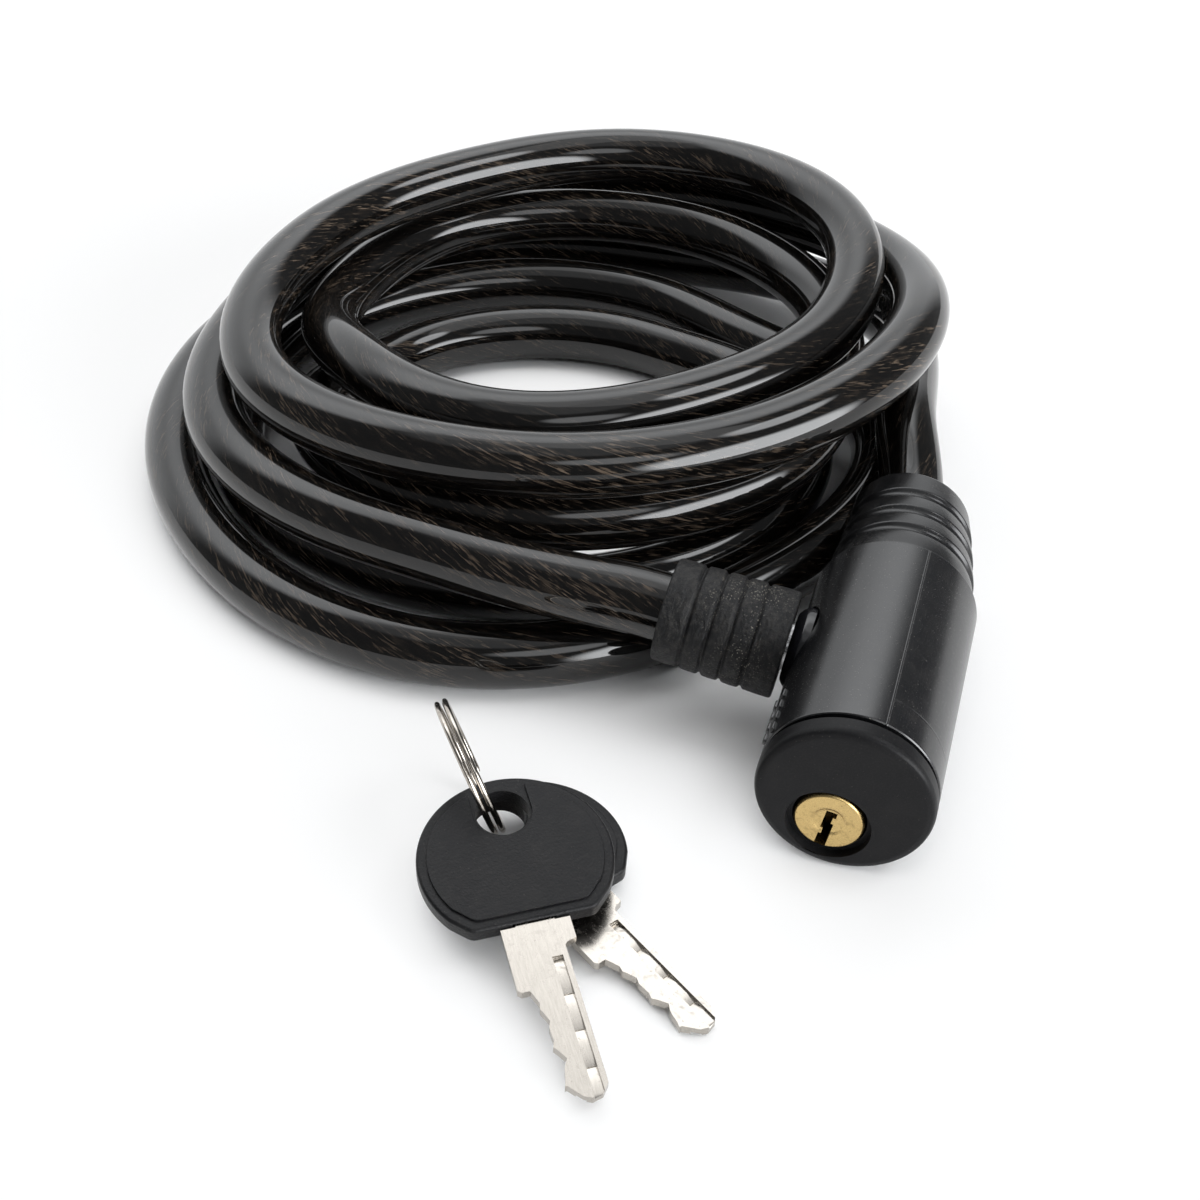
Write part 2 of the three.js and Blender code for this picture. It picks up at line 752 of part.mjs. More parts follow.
// A free stretch through chosen points, with straight ends of one diameter.
function stretch(points) {
  const curve = new THREE.CurvePath();
  const n = points.length;
  curve.add(new THREE.LineCurve3(points[0], points[1]));
  curve.add(new THREE.CatmullRomCurve3(points.slice(1, n - 1), false, "centripetal"));
  curve.add(new THREE.LineCurve3(points[n - 2], points[n - 1]));
  return curve;
}
function cord(points) {
  const section = new THREE.Shape(
    Array.from({ length: 10 }, (_, k) => {
      const w = (2 * Math.PI * k) / 10;
      return new THREE.Vector2(CABLE_R * Math.cos(w), CABLE_R * Math.sin(w));
    }),
  );
  return new THREE.ExtrudeGeometry(section, {
    steps: 10,
    bevelEnabled: false,
    extrudePath: stretch(points),
  });
}

// from the bolt's ferrule, out along the bolt's axis, to the pile's start
const headPoint = (x, y, z) => {
  head.updateMatrixWorld();
  return new THREE.Vector3(x, y, z).applyMatrix4(head.matrixWorld);
};
const coilStart = coilPoints[0];
const boltLead = [
  headPoint(-boltFerruleEnd - GAP, BOLT_Y, 0),
  headPoint(-boltFerruleEnd - GAP - CABLE_D, BOLT_Y, 0),
  new THREE.Vector3(-54.5, 31.8, 20.9),
  coilStart.clone().addScaledVector(startWay, CABLE_D),
  coilStart.clone().addScaledVector(startWay, GAP),
];
cable.add(mesh("lead_bolt", "cable", cord(boltLead)));

// from the head's ferrule, out through the rear boot, to the pile's end
const coilEnd = coilPoints[coilPoints.length - 1];
const headLead = [
  headPoint(0, ferruleEnd + GAP, 0),
  headPoint(0, SLEEVE_END + 4, 0),
  headPoint(bend(REAR_BOOT_END), REAR_BOOT_END, 0),
  new THREE.Vector3(-3, 88, 17.2),
  coilEnd.clone().addScaledVector(endWay, CABLE_D * 0.9),
  coilEnd.clone().addScaledVector(endWay, GAP),
];
cable.add(mesh("lead_head", "cable", cord(headLead)));

// least distance between turns, measured on the cable's own points
let least = Infinity;
const along = [0];
for (let i = 1; i < coilPoints.length; i++)
  along.push(along[i - 1] + coilPoints[i].distanceTo(coilPoints[i - 1]));
const fine = [];
for (let i = 0; i + 1 < coilPoints.length; i++)
  for (let k = 0; k < 6; k++)
    fine.push([
      coilPoints[i].clone().lerp(coilPoints[i + 1], k / 6),
      along[i] + ((along[i + 1] - along[i]) * k) / 6,
    ]);
for (let i = 0; i < fine.length; i++)
  for (let j = i + 1; j < fine.length; j++)
    if (fine[j][1] - fine[i][1] > 5 * CABLE_D)
      least = Math.min(least, fine[i][0].distanceTo(fine[j][0]));
console.log(
  `cable coil: ${((PILE_END - PILE_START) / 360).toFixed(2)} turns, ` +
    `${along[along.length - 1].toFixed(0)} mm along its middle, ` +
    `least gap to itself ${(least - CABLE_D).toFixed(2)} mm`,
);

// ---------------------------------------------------------------- keys
// A key lies along +X from its bow's centre, its thickness along Z.
function bow() {
  const outline = (inset) => {
    const r = BOW_R - inset;
    const c = BOW_CHORD - inset;
    const w = Math.acos((c - BOW_CORNER) / r);
    const n = 44;
    const p = Array.from({ length: n + 1 }, (_, i) => {
      const a = w + ((2 * Math.PI - 2 * w) * i) / n;
      return new THREE.Vector2(r * Math.cos(a), r * Math.sin(a));
    });
    const y = p[0].y - BOW_CORNER;
    return new THREE.Shape([...p, new THREE.Vector2(c, -y), new THREE.Vector2(c, y)]);
  };
  const plate = (shape, t) =>
    solid(
      new THREE.ExtrudeGeometry(shape, { depth: t, bevelEnabled: false }).translate(0, 0, -t / 2),
    );
  const clear = HOLE_R + HOLE_LAND;
  const land = solid(
    disc(clear, -BOW_R, BOW_R, 28).rotateX(Math.PI / 2).translate(-HOLE_OFF, 0, 0),
  ).add(solid(box(-BOW_R, -HOLE_OFF, -clear, clear, -BOW_R, BOW_R)));
  const hole = solid(
    disc(HOLE_R, -BOW_R, BOW_R, 28).rotateX(Math.PI / 2).translate(-HOLE_OFF, 0, 0),
  );
  const pocket = solid(
    box(
      TANG_START - GAP,
      BOW_R,
      -TANG_W / 2 - GAP,
      TANG_W / 2 + GAP,
      -BLADE_T / 2 - GAP,
      BLADE_T / 2 + GAP,
    ),
  );
  return plate(outline(PANEL_INSET), BOW_T + 2 * PANEL_RISE)
    .subtract(land)
    .add(plate(outline(0), BOW_T))
    .subtract(hole)
    .subtract(pocket);
}

// Blade with its tang in the bow; the spine lies at +Y and the cuts at -Y.
function blade() {
  const edge = SPINE - BLADE_W; // cut side before it is cut
  const start = BOW_CHORD + GAP;
  const room = (BLADE_END - SHOULDER - 2.6) / CUTS.length;
  const p = [
    [TANG_START, TANG_W / 2],
    [start, TANG_W / 2],
    [start, SHANK_W / 2],
    [STEP - 0.5, SHANK_W / 2],
    [STEP, SPINE + 0.4],
    [STEP + 0.4, SPINE],
    [BLADE_END - 1.8, SPINE],
    [BLADE_END - 0.4, SPINE - 1.1],
    [BLADE_END, SPINE - 2.7],
    [BLADE_END - 0.5, SPINE - 3.9],
    [BLADE_END - 2.6, edge + CUTS[CUTS.length - 1]],
  ];
  for (let i = CUTS.length - 1; i >= 0; i--) {
    const x = SHOULDER + 0.2 + room * i;
    const before = i ? CUTS[i - 1] : 0;
    p.push(
      [x + room * 0.95, edge + CUTS[i] * 0.75],
      [x + room * 0.65, edge + CUTS[i]],
      [x + room * 0.2, edge + (CUTS[i] + before) * 0.42],
    );
  }
  p.push(
    [SHOULDER, edge],
    [SHOULDER, -SHANK_W / 2 + 0.5],
    [SHOULDER - 0.5, -SHANK_W / 2],
    [start, -SHANK_W / 2],
    [start, -TANG_W / 2],
    [TANG_START, -TANG_W / 2],
  );
  const shape = new THREE.Shape(p.map(([x, y]) => new THREE.Vector2(x, y)));
  const flat = solid(
    new THREE.ExtrudeGeometry(shape, { depth: BLADE_T, bevelEnabled: false }).translate(
      0,
      0,
      -BLADE_T / 2,
    ),
  );
  const floor = BLADE_T / 2 - MILL_DEPTH;
  const [a, b, c, d] = MILLS.map((part) => SPINE - BLADE_W * part);
  return flat
    .subtract(solid(box(STEP + 2, BLADE_END + 1, b, a, floor, BLADE_T)))
    .subtract(solid(box(STEP + 2, BLADE_END + 1, d, c, -BLADE_T, -floor)));
}

// split ring, leaning through both holes: its axis and its middle
const ringAxis = new THREE.Vector3(0.782, 0.56, 0.274).normalize();
const ringMiddle = new THREE.Vector3(RING_X, RING_Y, RING_Z);

// A key on the ring: its hole's middle from the ring's, in radii of the ring;
// turned in plan, its blade sunk by a small slope.
function placeKey(name, hole, heading, slope) {
  const key = new THREE.Group();
  key.add(mesh(`${name}_bow`, "bow", bow()), mesh(`${name}_blade`, "steel", blade()));
  key.rotation.order = "ZYX";
  key.rotation.set(0, THREE.MathUtils.degToRad(slope), THREE.MathUtils.degToRad(heading));
  key.position
    .set(HOLE_OFF, 0, 0)
    .applyEuler(key.rotation)
    .add(ringMiddle)
    .addScaledVector(new THREE.Vector3(...hole), RING_R);
  return key;
}
const keys = new THREE.Group();
keys.add(
  placeKey("key_1", [0.7329, -0.7163, -0.1358], -57.7, 8.6),
  placeKey("key_2", [0.5471, -0.3652, -0.6526], -34.8, 3.9),
);

// Each turn of the ring lies flat, and the wire steps over to the second one
// where both ends stop.
const ringPitch = RING_WIRE_T + RING_GAP;
const ringPoints = [];
for (let a = RING_SPLIT; a <= 720 - RING_SPLIT; a += 15) {
  const u = THREE.MathUtils.smoothstep(a, 360 - RING_SPLIT, 360 + RING_SPLIT);
  const w = THREE.MathUtils.degToRad(a + RING_TURNED);
  ringPoints.push(
    new THREE.Vector3(RING_R * Math.cos(w), (u - 0.5) * ringPitch, RING_R * Math.sin(w)),
  );
}
const ring = new THREE.Group();
ring.add(
  mesh(
    "split_ring",
    "steel",
    tube(ringPoints, RING_WIRE / 2, 8, new THREE.Vector3(0, 1, 0), RING_WIRE_T / 2),
  ),
);
ring.quaternion.setFromUnitVectors(new THREE.Vector3(0, 1, 0), ringAxis);
ring.position.copy(ringMiddle);
keys.add(ring);

// ---------------------------------------------------------------- whole lock
// The origin is on the table, under the middle of everything but the cable.
const lock = new THREE.Group();
lock.add(head, keys);
lock.updateMatrixWorld(true);
const bounds = new THREE.Box3().setFromObject(lock, true);
lock.add(cable);
lock.position.set(
  -(bounds.min.x + bounds.max.x) / 2,
  -(bounds.min.y + bounds.max.y) / 2,
  -bounds.min.z,
);
lock.updateMatrixWorld(true);

const root = new THREE.Group();
root.add(lock);
export default root;
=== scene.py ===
"""A coiled key cable lock on a pale table, dressed for a product view.

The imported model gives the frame: every piece below is made in metres in its
place, rides on one of its bodies, and stands for the plain solids it covers.
"""

import logging
import math
from dataclasses import dataclass, field
from enum import Enum
from functools import partial, reduce
from typing import Iterable, Optional, Sequence

import bmesh
import bpy
from mathutils import Matrix, Vector


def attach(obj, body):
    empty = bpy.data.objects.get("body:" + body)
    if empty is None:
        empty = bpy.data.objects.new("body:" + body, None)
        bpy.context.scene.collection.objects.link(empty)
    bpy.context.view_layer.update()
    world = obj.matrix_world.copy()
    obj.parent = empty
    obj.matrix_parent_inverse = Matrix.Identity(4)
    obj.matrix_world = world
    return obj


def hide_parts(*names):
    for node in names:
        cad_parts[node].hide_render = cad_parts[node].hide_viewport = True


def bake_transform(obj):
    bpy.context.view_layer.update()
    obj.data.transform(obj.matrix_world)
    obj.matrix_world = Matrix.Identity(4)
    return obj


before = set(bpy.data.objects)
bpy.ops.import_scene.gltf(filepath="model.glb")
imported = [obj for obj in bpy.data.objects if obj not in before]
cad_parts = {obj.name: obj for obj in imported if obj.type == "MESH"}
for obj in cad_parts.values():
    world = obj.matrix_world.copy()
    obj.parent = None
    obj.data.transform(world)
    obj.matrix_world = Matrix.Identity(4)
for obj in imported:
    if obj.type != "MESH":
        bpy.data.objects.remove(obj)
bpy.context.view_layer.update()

log = logging.getLogger("cable_lock")

MM = 0.001
GAP = 0.3  # clearance between pieces that touch, in millimetres
SIDES = 96  # facets round a turned piece
ROLL = 9  # how far the head is rolled over, in degrees
BOLT_AT = 31.7  # place of the bolt and of the latch along the head
FERRULE_END = 29.4  # where the cable comes out of the bolt's ferrule
BLADE = (7.0, 1.5)  # a key blade's width and thickness
MILLED = (0.12, 0.35, 0.5, 0.68)  # sides of its two channels, in parts of the width

Corner = tuple[float, float]
Colour = tuple[float, float, float]
Point = Sequence[float]
Thing = bpy.types.Object
Material = bpy.types.Material
Socket = bpy.types.NodeSocket


def turn(degrees: float, axis: str) -> Matrix:
    """A turn by so many degrees about one axis."""
    return Matrix.Rotation(math.radians(degrees), 4, axis)


def shift(x: float, y: float, z: float) -> Matrix:
    """A move by so many millimetres."""
    return Matrix.Translation(Vector((x, y, z)) * MM)


# Where the sub-assemblies lie: the lock's own middle, the head rolled on the
# table, its key plug, and the bolt, whose pieces are turned about Y.
LOCK = shift(26.1612, -10.6033, -0.0049)
HEAD = LOCK @ shift(0, 0, 14.2) @ turn(ROLL, "Y")
PLUG_SEAT = shift(-1.1, 0, -5.7)
PLUG = HEAD @ PLUG_SEAT @ turn(3, "Y")
BOLT = HEAD @ shift(0, BOLT_AT, 0) @ turn(90, "Z")


class Slot(Enum):
    """The record's material slots."""

    SLEEVE = "sleeve"
    CAP = "cap"
    COLLAR = "collar"
    RUBBER = "rubber"
    CABLE = "cable"
    ZINC = "zinc"
    STEEL = "steel"
    NICKEL = "nickel"
    BRASS = "brass"
    BOW = "bow"


# --- finishes


class Graph:
    """Shader nodes while they are being wired."""

    def __init__(self, owner: bpy.types.ID) -> None:
        """Take up a node tree.

        Args:
            owner: the material or the world that it belongs to.
        """
        owner.use_nodes = True
        tree = owner.node_tree
        self.nodes, self.links = tree.nodes, tree.links

    def add(self, kind: str, inputs: Optional[dict] = None, **settings: object) -> bpy.types.Node:
        """Add a node.

        Args:
            kind: its Blender type.
            inputs: what goes into its sockets, a value or another socket.
            settings: its own properties.

        Returns:
            The node.
        """
        node = self.nodes.new(kind)
        for key, value in settings.items():
            setattr(node, key, value)
        for key, value in (inputs or {}).items():
            self.feed(node, key, value)
        return node

    def feed(self, node: bpy.types.Node, key: object, value: object) -> None:
        """Give a socket a value, or link it to another socket."""
        if isinstance(value, Socket):
            self.links.new(value, node.inputs[key])
        else:
            node.inputs[key].default_value = value

    def calc(self, kind: str, a: object, b: object = 0.0, c: object = 0.0) -> Socket:
        """One Math node."""
        return self.add("ShaderNodeMath", {0: a, 1: b, 2: c}, operation=kind).outputs[0]

    def plus(self, *values: object) -> Socket:
        """The sum of several values."""
        return reduce(partial(self.calc, "ADD"), values)

    def times(self, *values: object) -> Socket:
        """The product of several values."""
        return reduce(partial(self.calc, "MULTIPLY"), values)

    def most(self, *values: object) -> Socket:
        """The greatest of several values."""
        return reduce(partial(self.calc, "MAXIMUM"), values)

    def off(self, value: object, mark: float) -> Socket:
        """How far a value is from a mark, to either side."""
        return self.calc("ABSOLUTE", self.calc("SUBTRACT", value, mark))

    def axes(self, vector: Socket) -> bpy.types.NodeOutputs:
        """A vector's three parts."""
        return self.add("ShaderNodeSeparateXYZ", {0: vector}).outputs

    def span(
        self, value: Socket, low: float, high: float, a: float = 0, b: float = 1,
        ease: str = "LINEAR",
    ) -> Socket:
        """Carry low to high over to a to b, and stop there."""
        return self.add(
            "ShaderNodeMapRange",
            {"Value": value, "From Min": low, "From Max": high, "To Min": a, "To Max": b},
            interpolation_type=ease,
        ).outputs[0]


class Coat(Graph):
    """A material's nodes, from its skin to its end."""

    def __init__(self, name: str) -> None:
        """Start a plain material.

        Args:
            name: the material's name.
        """
        self.material = bpy.data.materials.new(name)
        super().__init__(self.material)
        self.nodes.clear()
        self.skin = self.add("ShaderNodeBsdfPrincipled")
        self.end = self.add("ShaderNodeOutputMaterial", {0: self.skin.outputs[0]})

    def set(self, **values: object) -> None:
        """Set sockets of the skin; an underscore stands for a space."""
        for key, value in values.items():
            self.feed(self.skin, key.replace("_", " "), value)

    def place(self, where: Matrix, scale: Point = (1, 1, 1)) -> Socket:
        """Object coordinates as seen from a sub-assembly's own place.

        Args:
            where: the sub-assembly's place.
            scale: how far the pattern is stretched along each axis.

        Returns:
            The vector socket.
        """
        at = self.add("ShaderNodeTexCoord").outputs["Object"]
        centred = self.add(
            "ShaderNodeMapping",
            {"Vector": at, "Location": where.to_translation(), "Rotation": where.to_euler()},
            vector_type="TEXTURE",
        )
        return self.add(
            "ShaderNodeVectorMath", {0: centred.outputs[0], 1: tuple(scale)}, operation="MULTIPLY"
        ).outputs[0]

    def noise(
        self, vector: Socket, size: float, detail: float = 2, rough: float = 0.5, twist: float = 0
    ) -> Socket:
        """Cloudy noise whose blots are about so many millimetres across."""
        return self.add(
            "ShaderNodeTexNoise",
            {
                "Vector": vector, "Scale": 1 / (size * MM), "Detail": detail,
                "Roughness": rough, "Distortion": twist,
            },
        ).outputs[0]

    def mix(self, share: object, a: object, b: object) -> Socket:
        """Blend two colours."""
        ends = [(*c, 1.0) if isinstance(c, tuple) else c for c in (a, b)]
        inputs = {0: share, 6: ends[0], 7: ends[1]}
        return self.add("ShaderNodeMix", inputs, data_type="RGBA").outputs[2]

    def bump(
        self, height: Socket, depth: float, strength: float = 1.0, under: Optional[Socket] = None
    ) -> Socket:
        """Relief of so many millimetres, over another relief if there is one."""
        inputs = {"Height": height, "Distance": depth * MM, "Strength": strength}
        if under is not None:
            inputs["Normal"] = under
        return self.add("ShaderNodeBump", inputs).outputs[0]


def tone(colour: Colour, gain: float) -> Colour:
    """A colour made lighter or darker."""
    return tuple(min(1.0, c * gain) for c in colour)


class Finish:
    """How a surface looks; each kind of finish wires its own nodes."""

    def dress(self, name: str, where: Matrix = Matrix()) -> Material:
        """Make the material.

        Args:
            name: its name.
            where: the place of the sub-assembly that wears it.

        Returns:
            The material.
        """
        coat = Coat(name)
        self.wire(coat, where)
        return coat.material

    def wire(self, g: Coat, where: Matrix) -> None:
        """Wire the nodes of a coat that is worn at this place."""
        raise NotImplementedError


@dataclass(frozen=True)
class Moulded(Finish):
    """Black moulded plastic: spark-eroded grain, soft shine, light dust."""

    colour: Colour
    shine: Corner  # least and most roughness
    grain: float = 0.35  # size of a grain, in millimetres
    depth: float = 0.02
    dust: float = 0.15
    mirror: float = 0.4  # share of an ordinary plastic's reflection
    seam: Optional[Matrix] = None  # place of a turned piece with a parting line

    def wire(self, g: Coat, where: Matrix) -> None:
        """Grain, specks of dust, and rubs along the piece."""
        at = g.place(where)
        fine = g.noise(at, self.grain, 3, 0.6)
        broad = g.noise(at, 9, 3, 0.55, 0.4)
        specks = g.span(g.noise(at, 0.3, 2, 0.7), 0.68, 0.73)
        film = g.span(g.noise(at, 4.5, 4, 0.62), 0.45, 0.75)
        rubs = g.span(g.noise(g.place(where, (1, 0.22, 1)), 0.42, 4, 0.7), 0.5, 0.8)
        faint = g.calc("MULTIPLY_ADD", film, 0.05, g.times(rubs, 0.12))
        dusty = g.times(g.plus(specks, faint), self.dust)
        base = g.mix(g.span(broad, 0.35, 0.65), self.colour, tone(self.colour, 1.15))
        relief = g.bump(fine, self.depth)
        if self.seam is not None:
            relief = g.bump(self.parting(g), 0.07, 1.0, relief)
        g.set(
            Base_Color=g.mix(dusty, base, (0.34, 0.31, 0.27)),
            Specular_IOR_Level=self.mirror,
            Roughness=g.plus(g.span(broad, 0.3, 0.7, *self.shine), g.times(dusty, 0.5)),
            Normal=relief,
            IOR=1.5,
        )

    def parting(self, g: Coat) -> Socket:
        """The thin ridge of the parting line, and the faint witness beside it."""
        ridge, beside = math.radians(10.5), math.radians(12)  # round from the top
        x, y, z = g.axes(g.place(self.seam))
        round_ = g.calc("ARCTAN2", x, z)
        line = g.span(g.off(round_, ridge), 0.006, 0.015, 1, 0)
        witness = g.span(g.off(y, 10.6 * MM), 0.05 * MM, 0.2 * MM, 0.35, 0)
        return g.most(line, g.times(witness, g.span(round_, ridge, beside)))


@dataclass(frozen=True)
class Rubber(Finish):
    """Soft black rubber: dull, a little blotchy, with dust in its pores."""

    colour: Colour = (0.0045, 0.0045, 0.005)
    shine: Corner = (0.42, 0.68)
    dust: float = 0.6
    rough: float = 0.16  # depth of its pores, in millimetres
    mirror: float = 0.28  # share of an ordinary plastic's reflection
    crease: float = 0.0  # depth of its creases, in millimetres
    worn: Optional[Corner] = None  # stretch along Y that holds most of the dust

    def wire(self, g: Coat, where: Matrix) -> None:
        """Pores, creases, and crumbs of dust in patches."""
        at = g.place(where)
        pores = g.noise(at, 0.4, 4, 0.65)
        patches = g.noise(at, 6, 4, 0.6, 0.6)
        crumbs = g.span(g.noise(at, 0.3, 1, 0.5), 0.64, 0.7)
        near = g.span(patches, 0.42, 0.66)
        film = g.span(g.noise(at, 1.2, 3, 0.6), 0.45, 0.75, 0, 0.07)
        relief = g.bump(pores, self.rough, 0.9)
        if self.crease:
            folds = g.noise(g.place(where, (1, 2.2, 1)), 3.4, 2, 0.5, 0.8)
            relief = g.bump(folds, self.crease, 0.8, relief)
        if self.worn:
            along = g.axes(at)[1]
            low, high = (end * MM for end in self.worn)
            rise = g.span(along, low, low + 3 * MM, 0.25, 1)
            fall = g.span(along, high, high + 3 * MM, 1, 0.15)
            near = g.times(near, g.times(rise, fall))
        dusty = g.times(g.calc("MULTIPLY_ADD", crumbs, near, film), self.dust)
        base = g.mix(g.span(pores, 0.35, 0.7), self.colour, tone(self.colour, 1.9))
        g.set(
            Base_Color=g.mix(dusty, base, (0.5, 0.46, 0.39)),
            Roughness=g.span(patches, 0.3, 0.7, *self.shine),
            Specular_IOR_Level=self.mirror,
            Normal=relief,
            IOR=1.5,
        )


@dataclass(frozen=True)
class ClearSkin(Finish):
    """Clear glossy sheath over dark strands that wind round the cable."""

    dark: Colour = (0.0016, 0.0014, 0.0013)
    strand: Colour = (0.088, 0.065, 0.047)
    lay: float = 0.09  # length in which a strand goes once round

    def wire(self, g: Coat, where: Matrix) -> None:
        """Strands that follow the cable by its own map, so its place isn't used."""
        u, v, _ = g.axes(g.add("ShaderNodeUVMap", uv_map="lay").outputs[0])
        wound = g.times(g.calc("SUBTRACT", u, g.calc("DIVIDE", v, self.lay)), 2 * math.pi)
        across = [g.calc(kind, wound) for kind in ("COSINE", "SINE")]

        def strands(count: float, run: float, detail: float) -> Socket:
            """Streaks: so many round the cable, each so many millimetres long."""
            x, y = (g.times(c, count / 4) for c in across)
            along = g.calc("DIVIDE", v, run * MM)
            vector = g.add("ShaderNodeCombineXYZ", {0: x, 1: y, 2: along}).outputs[0]
            return g.noise(vector, 1 / MM, detail, 0.6)  # a blot to each whole step

        bundle = g.span(strands(14, 30, 2), 0.42, 0.6)
        wires = g.span(strands(64, 2.8, 1), 0.54, 0.68)
        hairs = g.span(strands(36, 5, 2), 0.54, 0.74)
        cloud = g.span(strands(2, 45, 2), 0.34, 0.6, 0.25, 1)
        fine = g.most(wires, g.times(hairs, 0.5))
        lit = g.times(g.calc("MULTIPLY_ADD", bundle, 0.9, 0.1), g.times(fine, cloud))
        scuff = g.span(strands(3, 3, 3), 0.62, 0.74)
        g.set(
            Base_Color=g.mix(lit, self.dark, self.strand),
            Roughness=g.calc("MULTIPLY_ADD", scuff, 0.12, 0.4),
            Specular_IOR_Level=0.06,
            Coat_Normal=g.bump(strands(2, 18, 1), 0.03, 0.35),
            Coat_Weight=1.0,
            Coat_Roughness=0.04,
            Coat_IOR=1.5,
            IOR=1.3,
        )


@dataclass(frozen=True)
class Metal(Finish):
    """Bare or plated metal with its tool marks, stains and fine scratches."""

    colour: Colour
    shine: Corner
    stain: Colour = (0.16, 0.14, 0.12)
    stained: float = 0.3
    drawn: Point = (1, 1, 1)  # marks are long along the small axis
    rings: float = 0  # distance between turning marks, in millimetres
    shaded_past: float = 0  # painted shade deeper than so many millimetres along Y, as in a keyway
    bite: float = 0.005  # depth of its marks, in millimetres

    def wire(self, g: Coat, where: Matrix) -> None:
        """Tool marks, stains, painted shade in the deep and turning marks."""
        at = g.place(where)
        marks = g.noise(g.place(where, self.drawn), 0.28, 3, 0.7)
        stains = g.noise(at, 1.6, 4, 0.65, 0.5)
        spots = g.span(g.noise(at, 0.6, 2, 0.6), 0.64, 0.72)
        foul = g.most(g.span(stains, 0.55, 0.75), g.times(spots, 0.8))
        base = g.mix(g.span(marks, 0.3, 0.7), tone(self.colour, 0.86), self.colour)
        tint = g.mix(g.times(foul, self.stained), base, self.stain)
        x, depth, z = g.axes(at)
        # painted shade: past this depth the colour goes near black, standing in for the shade
        # inside the keyway and round the wafers
        if self.shaded_past:
            painted_shade = g.span(depth, self.shaded_past * MM, (self.shaded_past + 1.5) * MM, 0, 0.93)
            tint = g.mix(painted_shade, tint, (0.012, 0.009, 0.006))
        relief = g.bump(marks, self.bite, 0.5)
        if self.rings:
            far = g.calc("SQRT", g.plus(g.calc("POWER", x, 2), g.calc("POWER", z, 2)))
            turned = g.calc("SINE", g.times(far, 2 * math.pi / (self.rings * MM)))
            relief = g.bump(turned, 0.006, 0.5, relief)
        g.set(
            Base_Color=tint,
            Metallic=1.0,
            Roughness=g.calc("MULTIPLY_ADD", foul, 0.25, g.span(marks, 0.3, 0.75, *self.shine)),
            Normal=relief,
        )


SATIN_SEAMED = Moulded((0.0036, 0.0038, 0.0046), (0.22, 0.26), 0.3, 0.008, 0.26, 0.75, HEAD)
CHARCOAL = Moulded((0.008, 0.008, 0.0087), (0.36, 0.44), 0.42, 0.03, 0.16, 0.13)
GLOSSY = Moulded((0.008, 0.008, 0.01), (0.12, 0.18), 0.5, 0.004, 0.05, 0.6)
GRAINED = Moulded((0.006, 0.006, 0.0068), (0.33, 0.4), 0.42, 0.1, 0.2, 0.2)
SMOOTH_RUBBER = Rubber((0.0035, 0.0036, 0.0041), (0.22, 0.28), 0.1, 0.01, 0.5)
DUSTY_RUBBER = Rubber(crease=0.5, worn=(18.0, 28.0))
CABLE_SKIN = ClearSkin()
# past 1.6 mm along Y the plug's keyway and the wafers are painted near black, as shade
BRASS = Metal(
    (0.68, 0.49, 0.21), (0.24, 0.36), (0.16, 0.11, 0.05), 0.45, rings=0.35, shaded_past=1.6
)
NICKEL = Metal(
    (0.5, 0.468, 0.425), (0.18, 0.26), (0.25, 0.21, 0.17), 0.1, drawn=(0.12, 1, 1), bite=0.003
)
RING_NICKEL = Metal((0.52, 0.48, 0.43), (0.1, 0.18), (0.12, 0.09, 0.06), 0.5)
STEEL = Metal((0.6, 0.6, 0.61), (0.2, 0.32), (0.2, 0.19, 0.18), 0.25, (1, 0.15, 1))
ZINC = Metal((0.42, 0.43, 0.45), (0.42, 0.58), (0.12, 0.12, 0.12), 0.35)


# --- workbench


